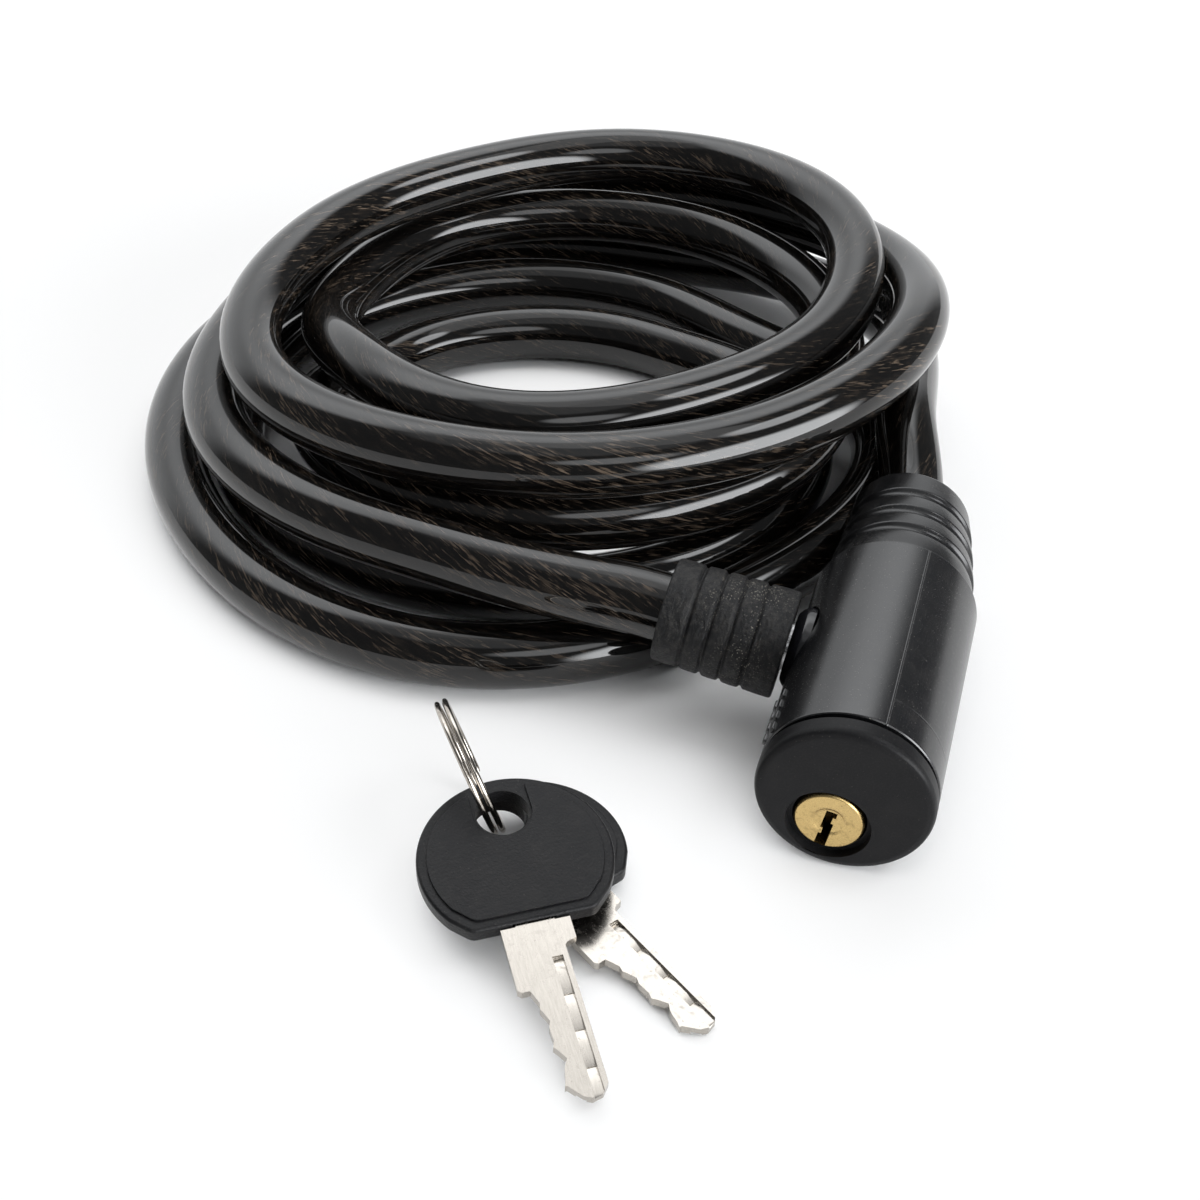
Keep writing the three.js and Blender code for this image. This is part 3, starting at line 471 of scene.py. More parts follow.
class Bench:
    """Modelling by hand: outlines, turning, cutting, bevels and placing."""

    @staticmethod
    def rest() -> None:
        """Back to object mode with nothing selected."""
        if bpy.context.object and bpy.context.object.mode != "OBJECT":
            bpy.ops.object.mode_set(mode="OBJECT")
        bpy.ops.object.select_all(action="DESELECT")

    @staticmethod
    def take(obj: Thing) -> None:
        """Make one object the selected and active one."""
        Bench.rest()
        obj.select_set(True)
        bpy.context.view_layer.objects.active = obj

    @staticmethod
    def named(name: str) -> Thing:
        """Name the object that was just added."""
        obj = bpy.context.object
        obj.name = obj.data.name = name
        return obj

    @staticmethod
    def outline(name: str, points: Sequence[Point], closed: bool) -> Thing:
        """Draw a line from point to point, and leave it open in edit mode.

        Args:
            name: the object's name.
            points: its corners, in millimetres.
            closed: whether the last corner is joined to the first.

        Returns:
            The object, all of it selected.
        """
        Bench.rest()
        bpy.ops.mesh.primitive_plane_add(size=MM)
        obj = Bench.named(name)
        bpy.ops.object.mode_set(mode="EDIT")
        bpy.ops.mesh.select_all(action="SELECT")
        bpy.ops.mesh.merge(type="CENTER")
        spots = [Vector((*p, 0)[:3]) * MM for p in points]
        bpy.ops.transform.translate(value=spots[0])
        for a, b in zip(spots, spots[1:]):
            bpy.ops.mesh.extrude_vertices_move(TRANSFORM_OT_translate={"value": b - a})
        if closed:
            mesh = bmesh.from_edit_mesh(obj.data)
            mesh.verts.ensure_lookup_table()
            mesh.verts[0].select_set(True)
            mesh.verts[-1].select_set(True)
            bmesh.update_edit_mesh(obj.data)
            bpy.ops.mesh.edge_face_add()
        bpy.ops.mesh.select_all(action="SELECT")
        return obj

    @staticmethod
    def close() -> None:
        """Merge doubles, turn the faces out and leave edit mode."""
        bpy.ops.mesh.select_all(action="SELECT")
        bpy.ops.mesh.remove_doubles(threshold=1e-6)
        bpy.ops.mesh.normals_make_consistent(inside=False)
        bpy.ops.object.mode_set(mode="OBJECT")

    @staticmethod
    def turned(name: str, corners: Sequence[Point], closed: bool = False) -> Thing:
        """Spin a profile about Y.

        Args:
            name: the object's name.
            corners: the profile as rounded() takes it, in millimetres.
            closed: whether it is a ring that doesn't reach the axis.

        Returns:
            The closed piece.
        """
        obj = Bench.outline(name, rounded(corners), closed)
        bpy.ops.mesh.spin(steps=SIDES, angle=2 * math.pi, center=(0, 0, 0), axis=(0, 1, 0))
        Bench.close()
        return obj

    @staticmethod
    def slab(name: str, corners: Sequence[Corner], low: float, high: float) -> Thing:
        """Raise a flat outline in X and Y from one height to another.

        Args:
            name: the object's name.
            corners: the outline, in millimetres.
            low: height of its lower face.
            high: height of its upper face.

        Returns:
            The closed piece.
        """
        obj = Bench.outline(name, [(x, y, low) for x, y in corners], True)
        bpy.ops.mesh.edge_face_add()
        bpy.ops.mesh.select_all(action="SELECT")
        up = (0, 0, (high - low) * MM)
        bpy.ops.mesh.extrude_region_move(TRANSFORM_OT_translate={"value": up})
        Bench.close()
        return obj

    @staticmethod
    def rod(
        name: str, radius: float, low: float, high: float, where: Matrix, sides: int = 64
    ) -> Thing:
        """A cutter: a plain rod along Z from low to high, then placed."""
        Bench.rest()
        bpy.ops.mesh.primitive_cylinder_add(
            vertices=sides, radius=radius * MM, depth=(high - low) * MM,
            location=(0, 0, (low + high) / 2 * MM),
        )
        return Bench.put(Bench.named(name), where)

    @staticmethod
    def block(name: str, low: Point, high: Point) -> Thing:
        """A cutter: a plain block between two corners, in millimetres."""
        Bench.rest()
        a, b = Vector(low) * MM, Vector(high) * MM
        bpy.ops.mesh.primitive_cube_add(size=1, location=(a + b) / 2, scale=b - a)
        obj = Bench.named(name)
        bpy.ops.object.transform_apply()
        return obj

    @staticmethod
    def put(obj: Thing, where: Matrix) -> Thing:
        """Place an object by moving its mesh, so that it sits at the origin."""
        Bench.take(obj)
        obj.matrix_world = where @ obj.matrix_world
        bpy.ops.object.transform_apply()
        return obj

    @staticmethod
    def modify(obj: Thing, kind: str, **settings: object) -> None:
        """Add a modifier with these settings and apply it."""
        Bench.take(obj)
        made = obj.modifiers.new(kind.lower(), kind)
        for key, value in settings.items():
            setattr(made, key, value)
        bpy.ops.object.modifier_apply(modifier=made.name)

    @staticmethod
    def cut(obj: Thing, *tools: Thing, how: str = "DIFFERENCE") -> None:
        """Cut an object by tools, or join them to it, and drop the tools."""
        for tool in tools:
            Bench.modify(obj, "BOOLEAN", operation=how, object=tool, solver="EXACT")
            bpy.data.objects.remove(tool)

    @staticmethod
    def bevel(obj: Thing, width: float, steps: int = 2, angle: float = 40) -> None:
        """Round the edges sharper than an angle by so many millimetres."""
        Bench.take(obj)
        bpy.ops.object.mode_set(mode="EDIT")
        bpy.ops.mesh.select_all(action="SELECT")
        bpy.ops.mesh.dissolve_limited(angle_limit=math.radians(0.3))
        bpy.ops.object.mode_set(mode="OBJECT")
        Bench.modify(
            obj, "BEVEL", width=width * MM, segments=steps, limit_method="ANGLE",
            angle_limit=math.radians(angle), use_clamp_overlap=True,
        )

    @staticmethod
    def smooth(obj: Thing, angle: float = 32) -> None:
        """Shade smooth up to an angle."""
        Bench.take(obj)
        bpy.ops.object.shade_smooth_by_angle(angle=math.radians(angle))

    @staticmethod
    def copy(obj: Thing, name: str) -> Thing:
        """A copy with a mesh of its own."""
        Bench.take(obj)
        bpy.ops.object.duplicate(linked=False)
        return Bench.named(name)

    @staticmethod
    def join(objs: Sequence[Thing]) -> Thing:
        """Join several objects into the first."""
        Bench.rest()
        for obj in objs:
            obj.select_set(True)
        bpy.context.view_layer.objects.active = objs[0]
        bpy.ops.object.join()
        return objs[0]


def rounded(corners: Sequence[Point]) -> list[Corner]:
    """Round a profile's corners.

    Args:
        corners: radius, place and, where the corner is rounded, its size.

    Returns:
        The profile with arcs in place of those corners.
    """
    steps = 3  # in each rounded corner
    made: list[Corner] = []
    for i, corner in enumerate(corners):
        here = Vector(corner[:2])
        size = corner[2] if len(corner) > 2 else 0
        if not size or not 0 < i < len(corners) - 1:
            made.append(tuple(here))
            continue
        ways = [Vector(corners[k][:2]) - here for k in (i - 1, i + 1)]
        a, b = (here + w.normalized() * min(size, w.length * 0.48) for w in ways)
        for k in range(steps + 1):
            t = k / steps
            made.append(tuple(a * (1 - t) ** 2 + here * 2 * t * (1 - t) + b * t * t))
    return made


def finish(
    obj: Thing, where: Matrix, body: Optional[str],
    material: Material, stands_for: Iterable[str] = (), angle: float = 32,
) -> Thing:
    """Place a modelled piece, shade and dress it, and let it ride.

    Args:
        obj: the piece, in its sub-assembly's own place.
        where: that place.
        body: the body that it rides on, or None where it rides on none.
        material: its material.
        stands_for: the solids that it covers.
        angle: edges sharper than this stay crisp.

    Returns:
        The piece.
    """
    Bench.put(obj, where)
    Bench.smooth(obj, angle)
    Bench.modify(obj, "WEIGHTED_NORMAL", keep_sharp=True, weight=60)
    obj.data.materials.clear()
    obj.data.materials.append(material)
    if body:
        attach(obj, body)
    if stands_for:
        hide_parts(*stands_for)
    log.info("%s rides on %s", obj.name, body or "two bodies")
    return obj


def sweep(
    name: str, line: Sequence[Vector], half: Corner, sides: int,
    upright: Vector = Vector((0, 0, 1)), ends: float = 0.0,
) -> Thing:
    """A closed tube along a line, with its own map of round and along.

    Args:
        name: the object's name.
        line: the points of its middle, in metres.
        half: half its width across the upright and along it, in metres.
        sides: facets round it.
        upright: the direction that its section keeps to.
        ends: how much the last rings are drawn in, as rounded ends.

    Returns:
        The object.
    """
    mesh = bmesh.new()
    uv = mesh.loops.layers.uv.new("lay")
    rings, along, run = [], [], 0.0
    last = len(line) - 1
    for i, p in enumerate(line):
        run += (p - line[i - 1]).length if i else 0.0
        along.append(run)
        way = (line[min(i + 1, last)] - line[max(i - 1, 0)]).normalized()
        side = upright.cross(way).normalized()
        up = way.cross(side)
        size = 1 - ends if i in (0, last) else 1
        round_ = [2 * math.pi * (k + 0.5) / sides for k in range(sides)]
        rings.append([
            mesh.verts.new(
                p + side * (half[0] * size * math.cos(w)) + up * (half[1] * size * math.sin(w))
            )
            for w in round_
        ])
    for i in range(last):
        for k in range(sides):
            n = (k + 1) % sides
            face = mesh.faces.new((rings[i][k], rings[i][n], rings[i + 1][n], rings[i + 1][k]))
            marks = ((k, i), (k + 1, i), (k + 1, i + 1), (k, i + 1))
            for loop, (a, b) in zip(face.loops, marks):
                loop[uv].uv = (a / sides, along[b])
    mesh.faces.new(reversed(rings[0]))
    mesh.faces.new(rings[-1])
    data = bpy.data.meshes.new(name)
    mesh.to_mesh(data)
    mesh.free()
    obj = bpy.data.objects.new(name, data)
    bpy.context.scene.collection.objects.link(obj)
    return obj


# --- the view


@dataclass(frozen=True)
class Patch:
    """A soft-edged patch of light in the surround."""

    middle: Corner  # degrees clockwise from the back, and above the table
    half: Corner  # half its width and its height, in degrees
    radiance: float
    core: float  # share of it that is evenly bright


@dataclass
class Studio:
    """The camera, the pale table and plain soft light."""

    spot: Vector = field(default_factory=lambda: Vector((0.045703, -0.210603, 0.209445)))
    tilt: float = 51.75
    heading: float = 16.27
    lens: float = 54.0
    room: float = 0.06  # radiance of the room where nothing brighter stands
    patches: Sequence[Patch] = (
        Patch((112, 9), (36, 27), 10.0, 0.7),
        Patch((72, 56), (14, 11), 6.5, 0.6),
        Patch((148, 43), (20, 12), 2.4, 0.6),
    )

    def camera(self) -> None:
        """Set the camera at the photograph's angle."""
        data = bpy.data.cameras.new("view")
        data.lens, data.sensor_width, data.clip_start = self.lens, 36.0, 0.01
        obj = bpy.data.objects.new("view", data)
        obj.location = self.spot
        obj.rotation_euler = (math.radians(self.tilt), 0, math.radians(self.heading))
        bpy.context.scene.collection.objects.link(obj)
        bpy.context.scene.camera = obj

    def table(self) -> None:
        """Lay the pale table top under the lock; in the open it shows white, and where the lock
        hems it in, ambient occlusion draws the white back as painted shade.
        """
        Bench.rest()
        bpy.ops.mesh.primitive_grid_add(x_subdivisions=8, y_subdivisions=8, size=6)
        floor = Bench.named("table_top")
        floor.location.z = -0.0002
        g = Coat("table_white")
        cloud = g.noise(g.add("ShaderNodeTexCoord").outputs["Object"], 180)
        tint = g.mix(g.span(cloud, 0.3, 0.7), (0.93, 0.93, 0.93), (0.95, 0.95, 0.95))
        g.set(Base_Color=tint, Roughness=0.6, Specular_IOR_Level=0.2)
        rays = g.add("ShaderNodeLightPath").outputs
        seen = g.most(*(rays[f"Is {kind} Ray"] for kind in ("Camera", "Glossy", "Transmission")))
        white = g.add("ShaderNodeEmission", {"Color": (1, 1, 1, 1), "Strength": 1.0})
        # painted shade: ambient occlusion draws the white back where the floor is hemmed in, so the
        # floor darkens under and between the loops
        clear = g.add("ShaderNodeAmbientOcclusion", {"Distance": 0.035}, samples=6).outputs["AO"]
        share = g.times(seen, g.span(clear, 0.34, 0.66, 0, 0.7))
        both = {0: share, 1: g.skin.outputs[0], 2: white.outputs[0]}
        g.feed(g.end, 0, g.add("ShaderNodeMixShader", both).outputs[0])
        floor.data.materials.append(g.material)

    @staticmethod
    def toward(way: Corner) -> Vector:
        """The direction so many degrees clockwise from the back, and above the table."""
        round_, up = (math.radians(w) for w in way)
        flat = math.cos(up)
        return Vector((math.sin(round_) * flat, math.cos(round_) * flat, math.sin(up)))

    def light(self, name: str, way: Corner, size: Corner, radiance: float) -> None:
        """Hang a soft lamp that faces the lock.

        Args:
            name: its name.
            way: where it stands, as toward() takes it.
            size: its width and height, in degrees as the lock sees it.
            radiance: how bright its face is.
        """
        far = 1.2
        wide, high = (2 * far * math.tan(math.radians(s / 2)) for s in size)
        data = bpy.data.lights.new(name, "AREA")
        data.shape, data.size, data.size_y = "ELLIPSE", wide, high
        data.energy = radiance * math.pi * wide * high * math.pi / 4
        out = self.toward(way)
        obj = bpy.data.objects.new(name, data)
        obj.location = Vector((-0.03, 0.06, 0.02)) + out * far
        obj.rotation_euler = (-out).to_track_quat("-Z", "Y").to_euler()
        bpy.context.scene.collection.objects.link(obj)

    def sky(self) -> None:
        """A dim room with a pale backdrop behind the lock, brighter higher up."""
        world = bpy.data.worlds.new("surround")
        g = Graph(world)
        x, y, z = g.axes(g.add("ShaderNodeTexCoord").outputs["Generated"])

        def soft(value: Socket, *ends: float) -> Socket:
            """Carry one range over to another, with soft ends."""
            return g.span(value, *ends, ease="SMOOTHSTEP")

        def along(line: Vector) -> Socket:
            """How far a direction goes along a line."""
            return g.plus(*(g.times(axis, part) for axis, part in zip((x, y, z), line)))

        def glow(patch: Patch) -> Socket:
            """The light of one patch."""
            out = self.toward(patch.middle)
            side = Vector((out.y, -out.x, 0)).normalized()
            sizes = [math.sin(math.radians(h)) for h in patch.half]
            ways = zip((side, side.cross(out)), sizes)
            a, b = (g.calc("DIVIDE", along(way), size) for way, size in ways)
            far = g.calc("SQRT", g.plus(g.times(a, a), g.times(b, b)))
            shape = soft(far, patch.core, 1.0, patch.radiance, 0)
            return g.times(shape, g.calc("GREATER_THAN", along(out), 0.0))

        level = g.calc("SQRT", g.most(g.calc("SUBTRACT", 1.0, g.times(z, z)), 1e-4))
        facing = g.calc("DIVIDE", g.plus(g.times(x, -0.559), g.times(y, 0.829)), level)
        backdrop = g.times(soft(facing, 0.5, 0.8, 0, 1), soft(z, 0.42, 0.77, 1.15, 2.8))
        ceiling = soft(z, 0.86, 0.93, 0, 0.6)
        low = g.times(backdrop, soft(z, 0.84, 0.93, 1, 0.3))
        room = g.plus(g.most(low, ceiling, self.room), *map(glow, self.patches))
        rays = g.add("ShaderNodeLightPath").outputs
        seen = g.most(rays["Is Camera Ray"], rays["Is Transmission Ray"])
        seen = g.most(seen, g.times(rays["Is Glossy Ray"], 0.1))
        lack = g.most(g.calc("SUBTRACT", 1.0, room), 0.0)
        back = g.nodes["Background"]
        g.feed(back, "Color", (0.965, 0.982, 1.0, 1))
        g.feed(back, "Strength", g.plus(room, g.times(lack, seen)))
        bpy.context.scene.world = world

    def build(self) -> None:
        """Set the lights and the table."""
        bpy.context.scene.view_settings.view_transform = "Standard"
        self.table()
        self.sky()
        self.light("top_box", (20, 76), (52, 24), 0.7)


# --- the cable


@dataclass
class Cable:
    """The long piled cable, from the lock head round to the bolt end."""

    diameter: float = 12.0
    middle: Corner = (-76.0, 116.0)
    floor: float = 6.05
    up: float = 18.65
    top: float = 31.75
    start: float = 10.0  # degrees round the pile where the loops begin
    stop: float = 5 * 360 + 265.0
    step: float = 2.5
    sides: int = 28
    parting: float = 165.0  # where the bolt's own stretch is joined, at the back

    def pile(self) -> list[Corner]:
        """Distance from the middle and height, for every eighth of a turn."""
        floor, up, top = self.floor, self.up, self.top  # the first, second and third layer
        return [
            # turn 1
            (80, 20.5), (79.5, 20), (71, 19.5), (73.2, up),
            (70, up), (70, 23.5), (68, top), (65.8, top),
            # turn 2
            (67.5, top), (70.5, 31), (61.5, top), (58, top),
            (65.3, 31.2), (61.2, 33.4), (52.5, top), (49.5, top),
            # turn 3
            (54.5, top), (51, 28.5), (55, 20), (60, up),
            (57, up), (54, up), (53, up), (61.4, up),
            # turn 4
            (65, up), (60, 15.5), (44, floor), (29, floor),
            (23.5, floor), (27, floor), (46.5, floor), (61.4, floor),
            # turn 5
            (71.5, floor), (75, floor), (67, floor), (53.5, floor),
            (43.5, floor), (42, floor), (63.4, floor), (74.6, floor),
            # turn 6
            (91, floor), (88, floor), (83.3, floor), (73.5, floor),
            (64, floor), (70.5, 9.5), (67.8, 18.4), (78, 15.5),
        ]

    def on_pile(self, degrees: float) -> Vector:
        """The cable's middle at so many degrees round the pile, in metres."""
        pile = self.pile()
        t = degrees / 45
        i = min(int(t), len(pile) - 2)
        u = t - i

        def swing(axis: int) -> float:
            """An even swing from one station to the next."""
            a, b, c, d = (pile[min(max(i + k, 0), len(pile) - 1)][axis] for k in (-1, 0, 1, 2))
            bend = 2 * a - 5 * b + 4 * c - d + u * (3 * (b - c) + d - a)
            return b + 0.5 * u * (c - a + u * bend)

        turned = math.radians(degrees)
        spot = Vector((
            self.middle[0] - swing(0) * math.sin(turned),
            self.middle[1] - swing(0) * math.cos(turned),
            max(swing(1), self.floor),
        ))
        return LOCK @ (spot * MM)

    @staticmethod
    def through(points: Sequence[Vector]) -> list[Vector]:
        """A smooth line through chosen points.

        Args:
            points: what it passes through, in metres.

        Returns:
            Its own points, about 2.5 mm apart.
        """
        made: list[Vector] = []
        last = len(points) - 1
        for i in range(last):
            p = [points[min(max(i + k, 0), last)] for k in (-1, 0, 1, 2)]
            span = (p[2] - p[1]).length
            n = max(int(span / 0.0025), 1)
            ways = []
            for a, b, c in (p[:3], p[1:]):
                before, after = max((b - a).length, 1e-6), max((c - b).length, 1e-6)
                if before < 1e-5 or after < 1e-5:
                    ways.append((p[2] - p[1]).normalized())
                else:
                    ways.append(((b - a) / before * after + (c - b) / after * before).normalized())
            for k in range(n):
                t = k / n
                made.append(
                    p[1] * (2 * t**3 - 3 * t**2 + 1)
                    + p[2] * (3 * t**2 - 2 * t**3)
                    + ways[0] * span * (t**3 - 2 * t**2 + t)
                    + ways[1] * span * (t**3 - t**2)
                )
        return made + [points[-1]]

    @staticmethod
    def eased(line: list[Vector]) -> list[Vector]:
        """Take small kinks out of a line, its ends held."""
        rounds, held = 6, 8
        for _ in range(rounds):
            line = [
                p if not held <= i < len(line) - held else (line[i - 1] + p * 2 + line[i + 1]) / 4
                for i, p in enumerate(line)
            ]
        return line

    def route(self) -> list[Vector]:
        """The whole way from the bolt end's ferrule to the head's, in metres."""
        pile_start = self.on_pile(self.start)
        start_way = (pile_start - self.on_pile(self.start + 1)).normalized()
        pile_end = self.on_pile(self.stop)
        end_way = (pile_end - self.on_pile(self.stop - 1)).normalized()
        along = self.diameter * MM
        first = pile_start + start_way * along
        final = pile_end + end_way * along
        lead = self.through([
            BOLT @ Vector((0, FERRULE_END * MM, 0)),
            BOLT @ Vector((0, 41.4 * MM, 0)),
            LOCK @ (Vector((-54.5, 31.8, 20.9)) * MM),
            first + start_way * along,
            first,
            pile_start,
        ])
        whole = self.stop - self.start
        count = int(whole / self.step)
        loops = [self.on_pile(self.start + whole * k / count) for k in range(1, count)]
        tail = self.through([
            pile_end,
            final,
            final + end_way * along * 0.9,
            LOCK @ (Vector((-3, 88, 17.2)) * MM),
            HEAD @ (Vector((-1.2, 76.4, 0)) * MM),
            HEAD @ (Vector((0, 54.4, 0)) * MM),
            HEAD @ (Vector((0, 47.8, 0)) * MM),
        ])
        return self.eased(lead + loops + tail)

    def build(self) -> None:
        """Sweep the cable in its two stretches and dress them; the piled one rides on the head."""
        line = self.route()
        apart = self.on_pile(self.parting)
        at = min(range(200), key=lambda k: (line[k] - apart).length)
        half = self.diameter / 2 * MM
        skin = CABLE_SKIN.dress("clear_skin_over_strands")
        stretches = (("bolt_stretch", line[: at + 1][::-1]), ("piled_cable", line[at:][::-1]))
        for name, part in stretches:
            obj = sweep(name, part, (half, half), self.sides)
            Bench.smooth(obj, 50)
            obj.data.materials.append(skin)
            if name == "bolt_stretch":
                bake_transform(obj)
                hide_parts("lead_bolt")
            else:
                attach(obj, "head")
                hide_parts("cable_coil", "lead_head")


# --- lock head


@dataclass
class LockHead:
    """The sleeve, its end cap, the bolt's collar and the rear boot."""

    radius: float = 14.2
    wall: float = 1.8
    cap: float = 3.6
    groove: float = 0.9
    sleeve_end: float = 50.4
    spigot: float = 9.0
    plug_radius: float = 5.6
    recess: float = 6.8
    recess_depth: float = 1.6
    collar: float = 7.4
    bolt: float = 4.2
    boot_end: float = 76.4
    boot: Corner = (13.4, 10.8)
    lean: float = 1.2

    def sleeve(self) -> None:
        """The satin tube with the bolt's opening and its grip bars."""
        r, b = self.radius, self.radius - self.wall
        y0, y1 = self.cap + self.groove, self.sleeve_end
        obj = Bench.turned(
            "sleeve",
            [(b, y0 + 2), (b, y0), (r, y0, 0.5), (r, y0 + 12), (r, y1, 0.6), (b, y1), (b, y1 - 2)],
            closed=True,
        )
        across = turn(-90, "Y") @ shift(0, BOLT_AT, 0)
        Bench.cut(obj, Bench.rod("opening", self.collar + GAP, 5, 25, across))
        satin = SATIN_SEAMED.dress("satin_sleeve", HEAD)
        finish(obj, HEAD, "head", satin, ["head_sleeve"])
        bar = Bench.block("grip_bars", (-0.6, 0, r - 0.6), (0.6, 1.8, r + 0.4))
        Bench.bevel(bar, 0.22, 3)
        places = [
            turn(angle - ROLL, "Y") @ shift(0, y0 + 1.6 + 2.7 * row, 0)
            for row in range(4)
            for angle in (-64, -76)
        ]
        bars = [Bench.put(Bench.copy(bar, "grip_bar"), place) for place in places]
        bpy.data.objects.remove(bar)
        bars = Bench.join(bars)
        bars.name = bars.data.name = "grip_bars"
        finish(bars, HEAD, "head", satin)

    def end_cap(self) -> None:
        """The matte cap with its bright rim and the recess round the plug."""
        r, inner = self.radius, self.radius - self.wall - GAP
        obj = Bench.turned("cap", [
            (0, 0), (r - 1.3, 0, 0.25), (r - 0.35, 0.28, 0.35), (r, 1.1, 0.4),
            (r, self.cap, 0.25), (inner, self.cap), (inner, self.spigot), (0, self.spigot),
        ])
        seat = PLUG_SEAT @ turn(90, "X")
        Bench.cut(
            obj,
            Bench.rod("recess", self.recess, -self.recess_depth, 3, seat, 96),
            Bench.rod("bore", self.plug_radius + GAP, -20, 3, seat, 96),
        )
        Bench.bevel(obj, 0.16, 2, 50)
        finish(obj, HEAD, "head", CHARCOAL.dress("charcoal_cap", HEAD), ["end_cap"])

    def socket(self) -> None:
        """The glossy collar that the bolt end goes into."""
        inner, out = self.radius - self.wall, self.radius + 1.1
        hole, r = self.bolt + GAP, self.collar
        obj = Bench.turned(
            "collar",
            [
                (hole, inner + 1), (hole, inner), (r, inner), (r, out - 1.6, 0.5),
                (r - 0.8, out - 0.72, 0.3), (r - 1.7, out, 0.5), (hole, out, 0.3), (hole, out - 1),
            ],
            closed=True,
        )
        glossy = GLOSSY.dress("glossy_collar", HEAD)
        finish(obj, BOLT, "head", glossy, ["socket_collar"])

    def rear_boot(self) -> None:
        """The ribbed boot that carries the cable out of the head's rear."""
        y0, y1 = self.sleeve_end + GAP, self.boot_end
        sides = ribs(self.boot, y0, y1, (6.1, 6.1, 6.1, 7.3), 2.4, 0.6, (0.22, 0.6))
        inner = self.radius - self.wall - GAP
        bore = self.boot_bore()
        obj = Bench.turned(
            "rear_boot",
            [
                (bore, y1 - 16), (bore, y0 - 5), (inner, y0 - 5), (inner, y0), *sides,
                (bore + 0.6, y1, 0.4), (bore, y1 - 1.2), (bore, y1 - 8),
            ],
            closed=True,
        )
        self.leaned(obj)
        satin = SMOOTH_RUBBER.dress("satin_boot", HEAD)
        finish(obj, HEAD, "head", satin, ["rear_boot"])

    def leaned(self, obj: Thing) -> None:
        """Let the boot lean over towards the bolt's side, ring by ring."""
        Bench.take(obj)
        bpy.ops.object.mode_set(mode="EDIT")
        start = (self.sleeve_end + GAP) * MM
        mesh = bmesh.from_edit_mesh(obj.data)
        places = sorted({round(v.co.y, 6) for v in mesh.verts if v.co.y > start + 1e-5})
        for place in places:
            bpy.ops.mesh.select_all(action="DESELECT")
            mesh = bmesh.from_edit_mesh(obj.data)
            for v in mesh.verts:
                v.select_set(abs(v.co.y - place) < 2e-6)
            mesh.select_flush(True)
            bmesh.update_edit_mesh(obj.data)
            share = (place / MM - self.sleeve_end) / (self.boot_end - self.sleeve_end)
            bpy.ops.transform.translate(value=(-self.lean * share**2 * MM, 0, 0))
        bpy.ops.object.mode_set(mode="OBJECT")

    @staticmethod
    def boot_bore() -> float:
        """Bore of a boot round the cable."""
        return 6 + 2 * GAP

    def build(self) -> None:
        """Make the head's outer pieces."""
        self.sleeve()
        self.end_cap()
        self.socket()
        self.rear_boot()


def ribs(
    radii: Corner, a: float, b: float, bands: Point, gap: float, depth: float,
    round_: Corner,
) -> list[tuple[float, float, float]]:
    """The ribbed side of a boot.

    Args:
        radii: its radius at the start and at the end.
        a: place of its start.
        b: place of its end.
        bands: relative widths of its ribs.
        gap: width of a groove.
        depth: depth of a groove.
        round_: rounding of the grooves' edges and of both ends.

    Returns:
        Radius, place and rounding of each corner.
    """
    made = []
    s, last = a, len(bands) - 1
    for i, band in enumerate(bands):
        e = s + (b - a) * band / sum(bands)
        rs, re = (radii[0] + (radii[1] - radii[0]) * (y - a) / (b - a) for y in (s, e))
        made += [
            (rs, s + (gap / 2 if i else 0), round_[0] if i else round_[1]),
            ((rs + re) / 2 + 0.06, (s + e) / 2, 0),
            (re, e - (gap / 2 if i < last else 0), round_[0] if i < last else round_[1]),
        ]
        if i < last:
            made += [(re - depth, e - gap / 6, gap / 6), (re - depth, e + gap / 6, gap / 6)]
        s = e
    return made


# --- key plug


def key_section(grow: float) -> list[Corner]:
    """A blade's milled section: thickness across, width down from the spine."""
    x, inner, w = BLADE[1] / 2 + grow, 0.3 + grow, BLADE[0]
    a, b, c, d = (-w * part for part in MILLED)
    return [
        (-x, grow), (-x, c - grow), (-inner, c - grow), (-inner, d + grow), (-x, d + grow),
        (-x, -w - grow), (x, -w - grow), (x, b + grow), (inner, b + grow), (inner, a - grow),
        (x, a - grow), (x, grow),
    ]


@dataclass
class Plug:
    """The brass plug that the key turns."""

    radius: float = 5.6
    face: float = 0.7
    end: float = 20.7
    neck: Corner = (18.0, 19.6)
    dish: float = 2.9

    def build(self) -> None:
        """Turn the plug, cut its keyway and the slots of its wafers."""
        r, f = self.radius, self.face
        near, far = self.neck
        obj = Bench.turned("plug_barrel", [
            (0, f + 0.4), (self.dish * 0.78, f + 0.4, 0.5), (self.dish, f, 0.5),
            (r - 0.35, f, 0.15), (r, f + 0.35, 0.15), (r, near), (4.7, near), (4.7, far),
            (r, far), (r, self.end), (0, self.end),
        ])
        spine = BLADE[0] - (r - 0.35)
        way = Bench.slab("keyway", [(x, z + spine) for x, z in key_section(0.15)], -17.0, 2)
        Bench.put(way, turn(90, "X"))
        slots = [
            Bench.block("slot", (-3.3, y - GAP, -9), (3.3, y + 0.8 + GAP, 9))
            for y in (f + 4.4 + 2.5 * i for i in range(5))
        ]
        Bench.cut(obj, way, *slots)
        Bench.bevel(obj, 0.07, 2, 50)
        finish(obj, PLUG, "plug", BRASS.dress("turned_brass", PLUG), ["plug"])


# --- bolt end


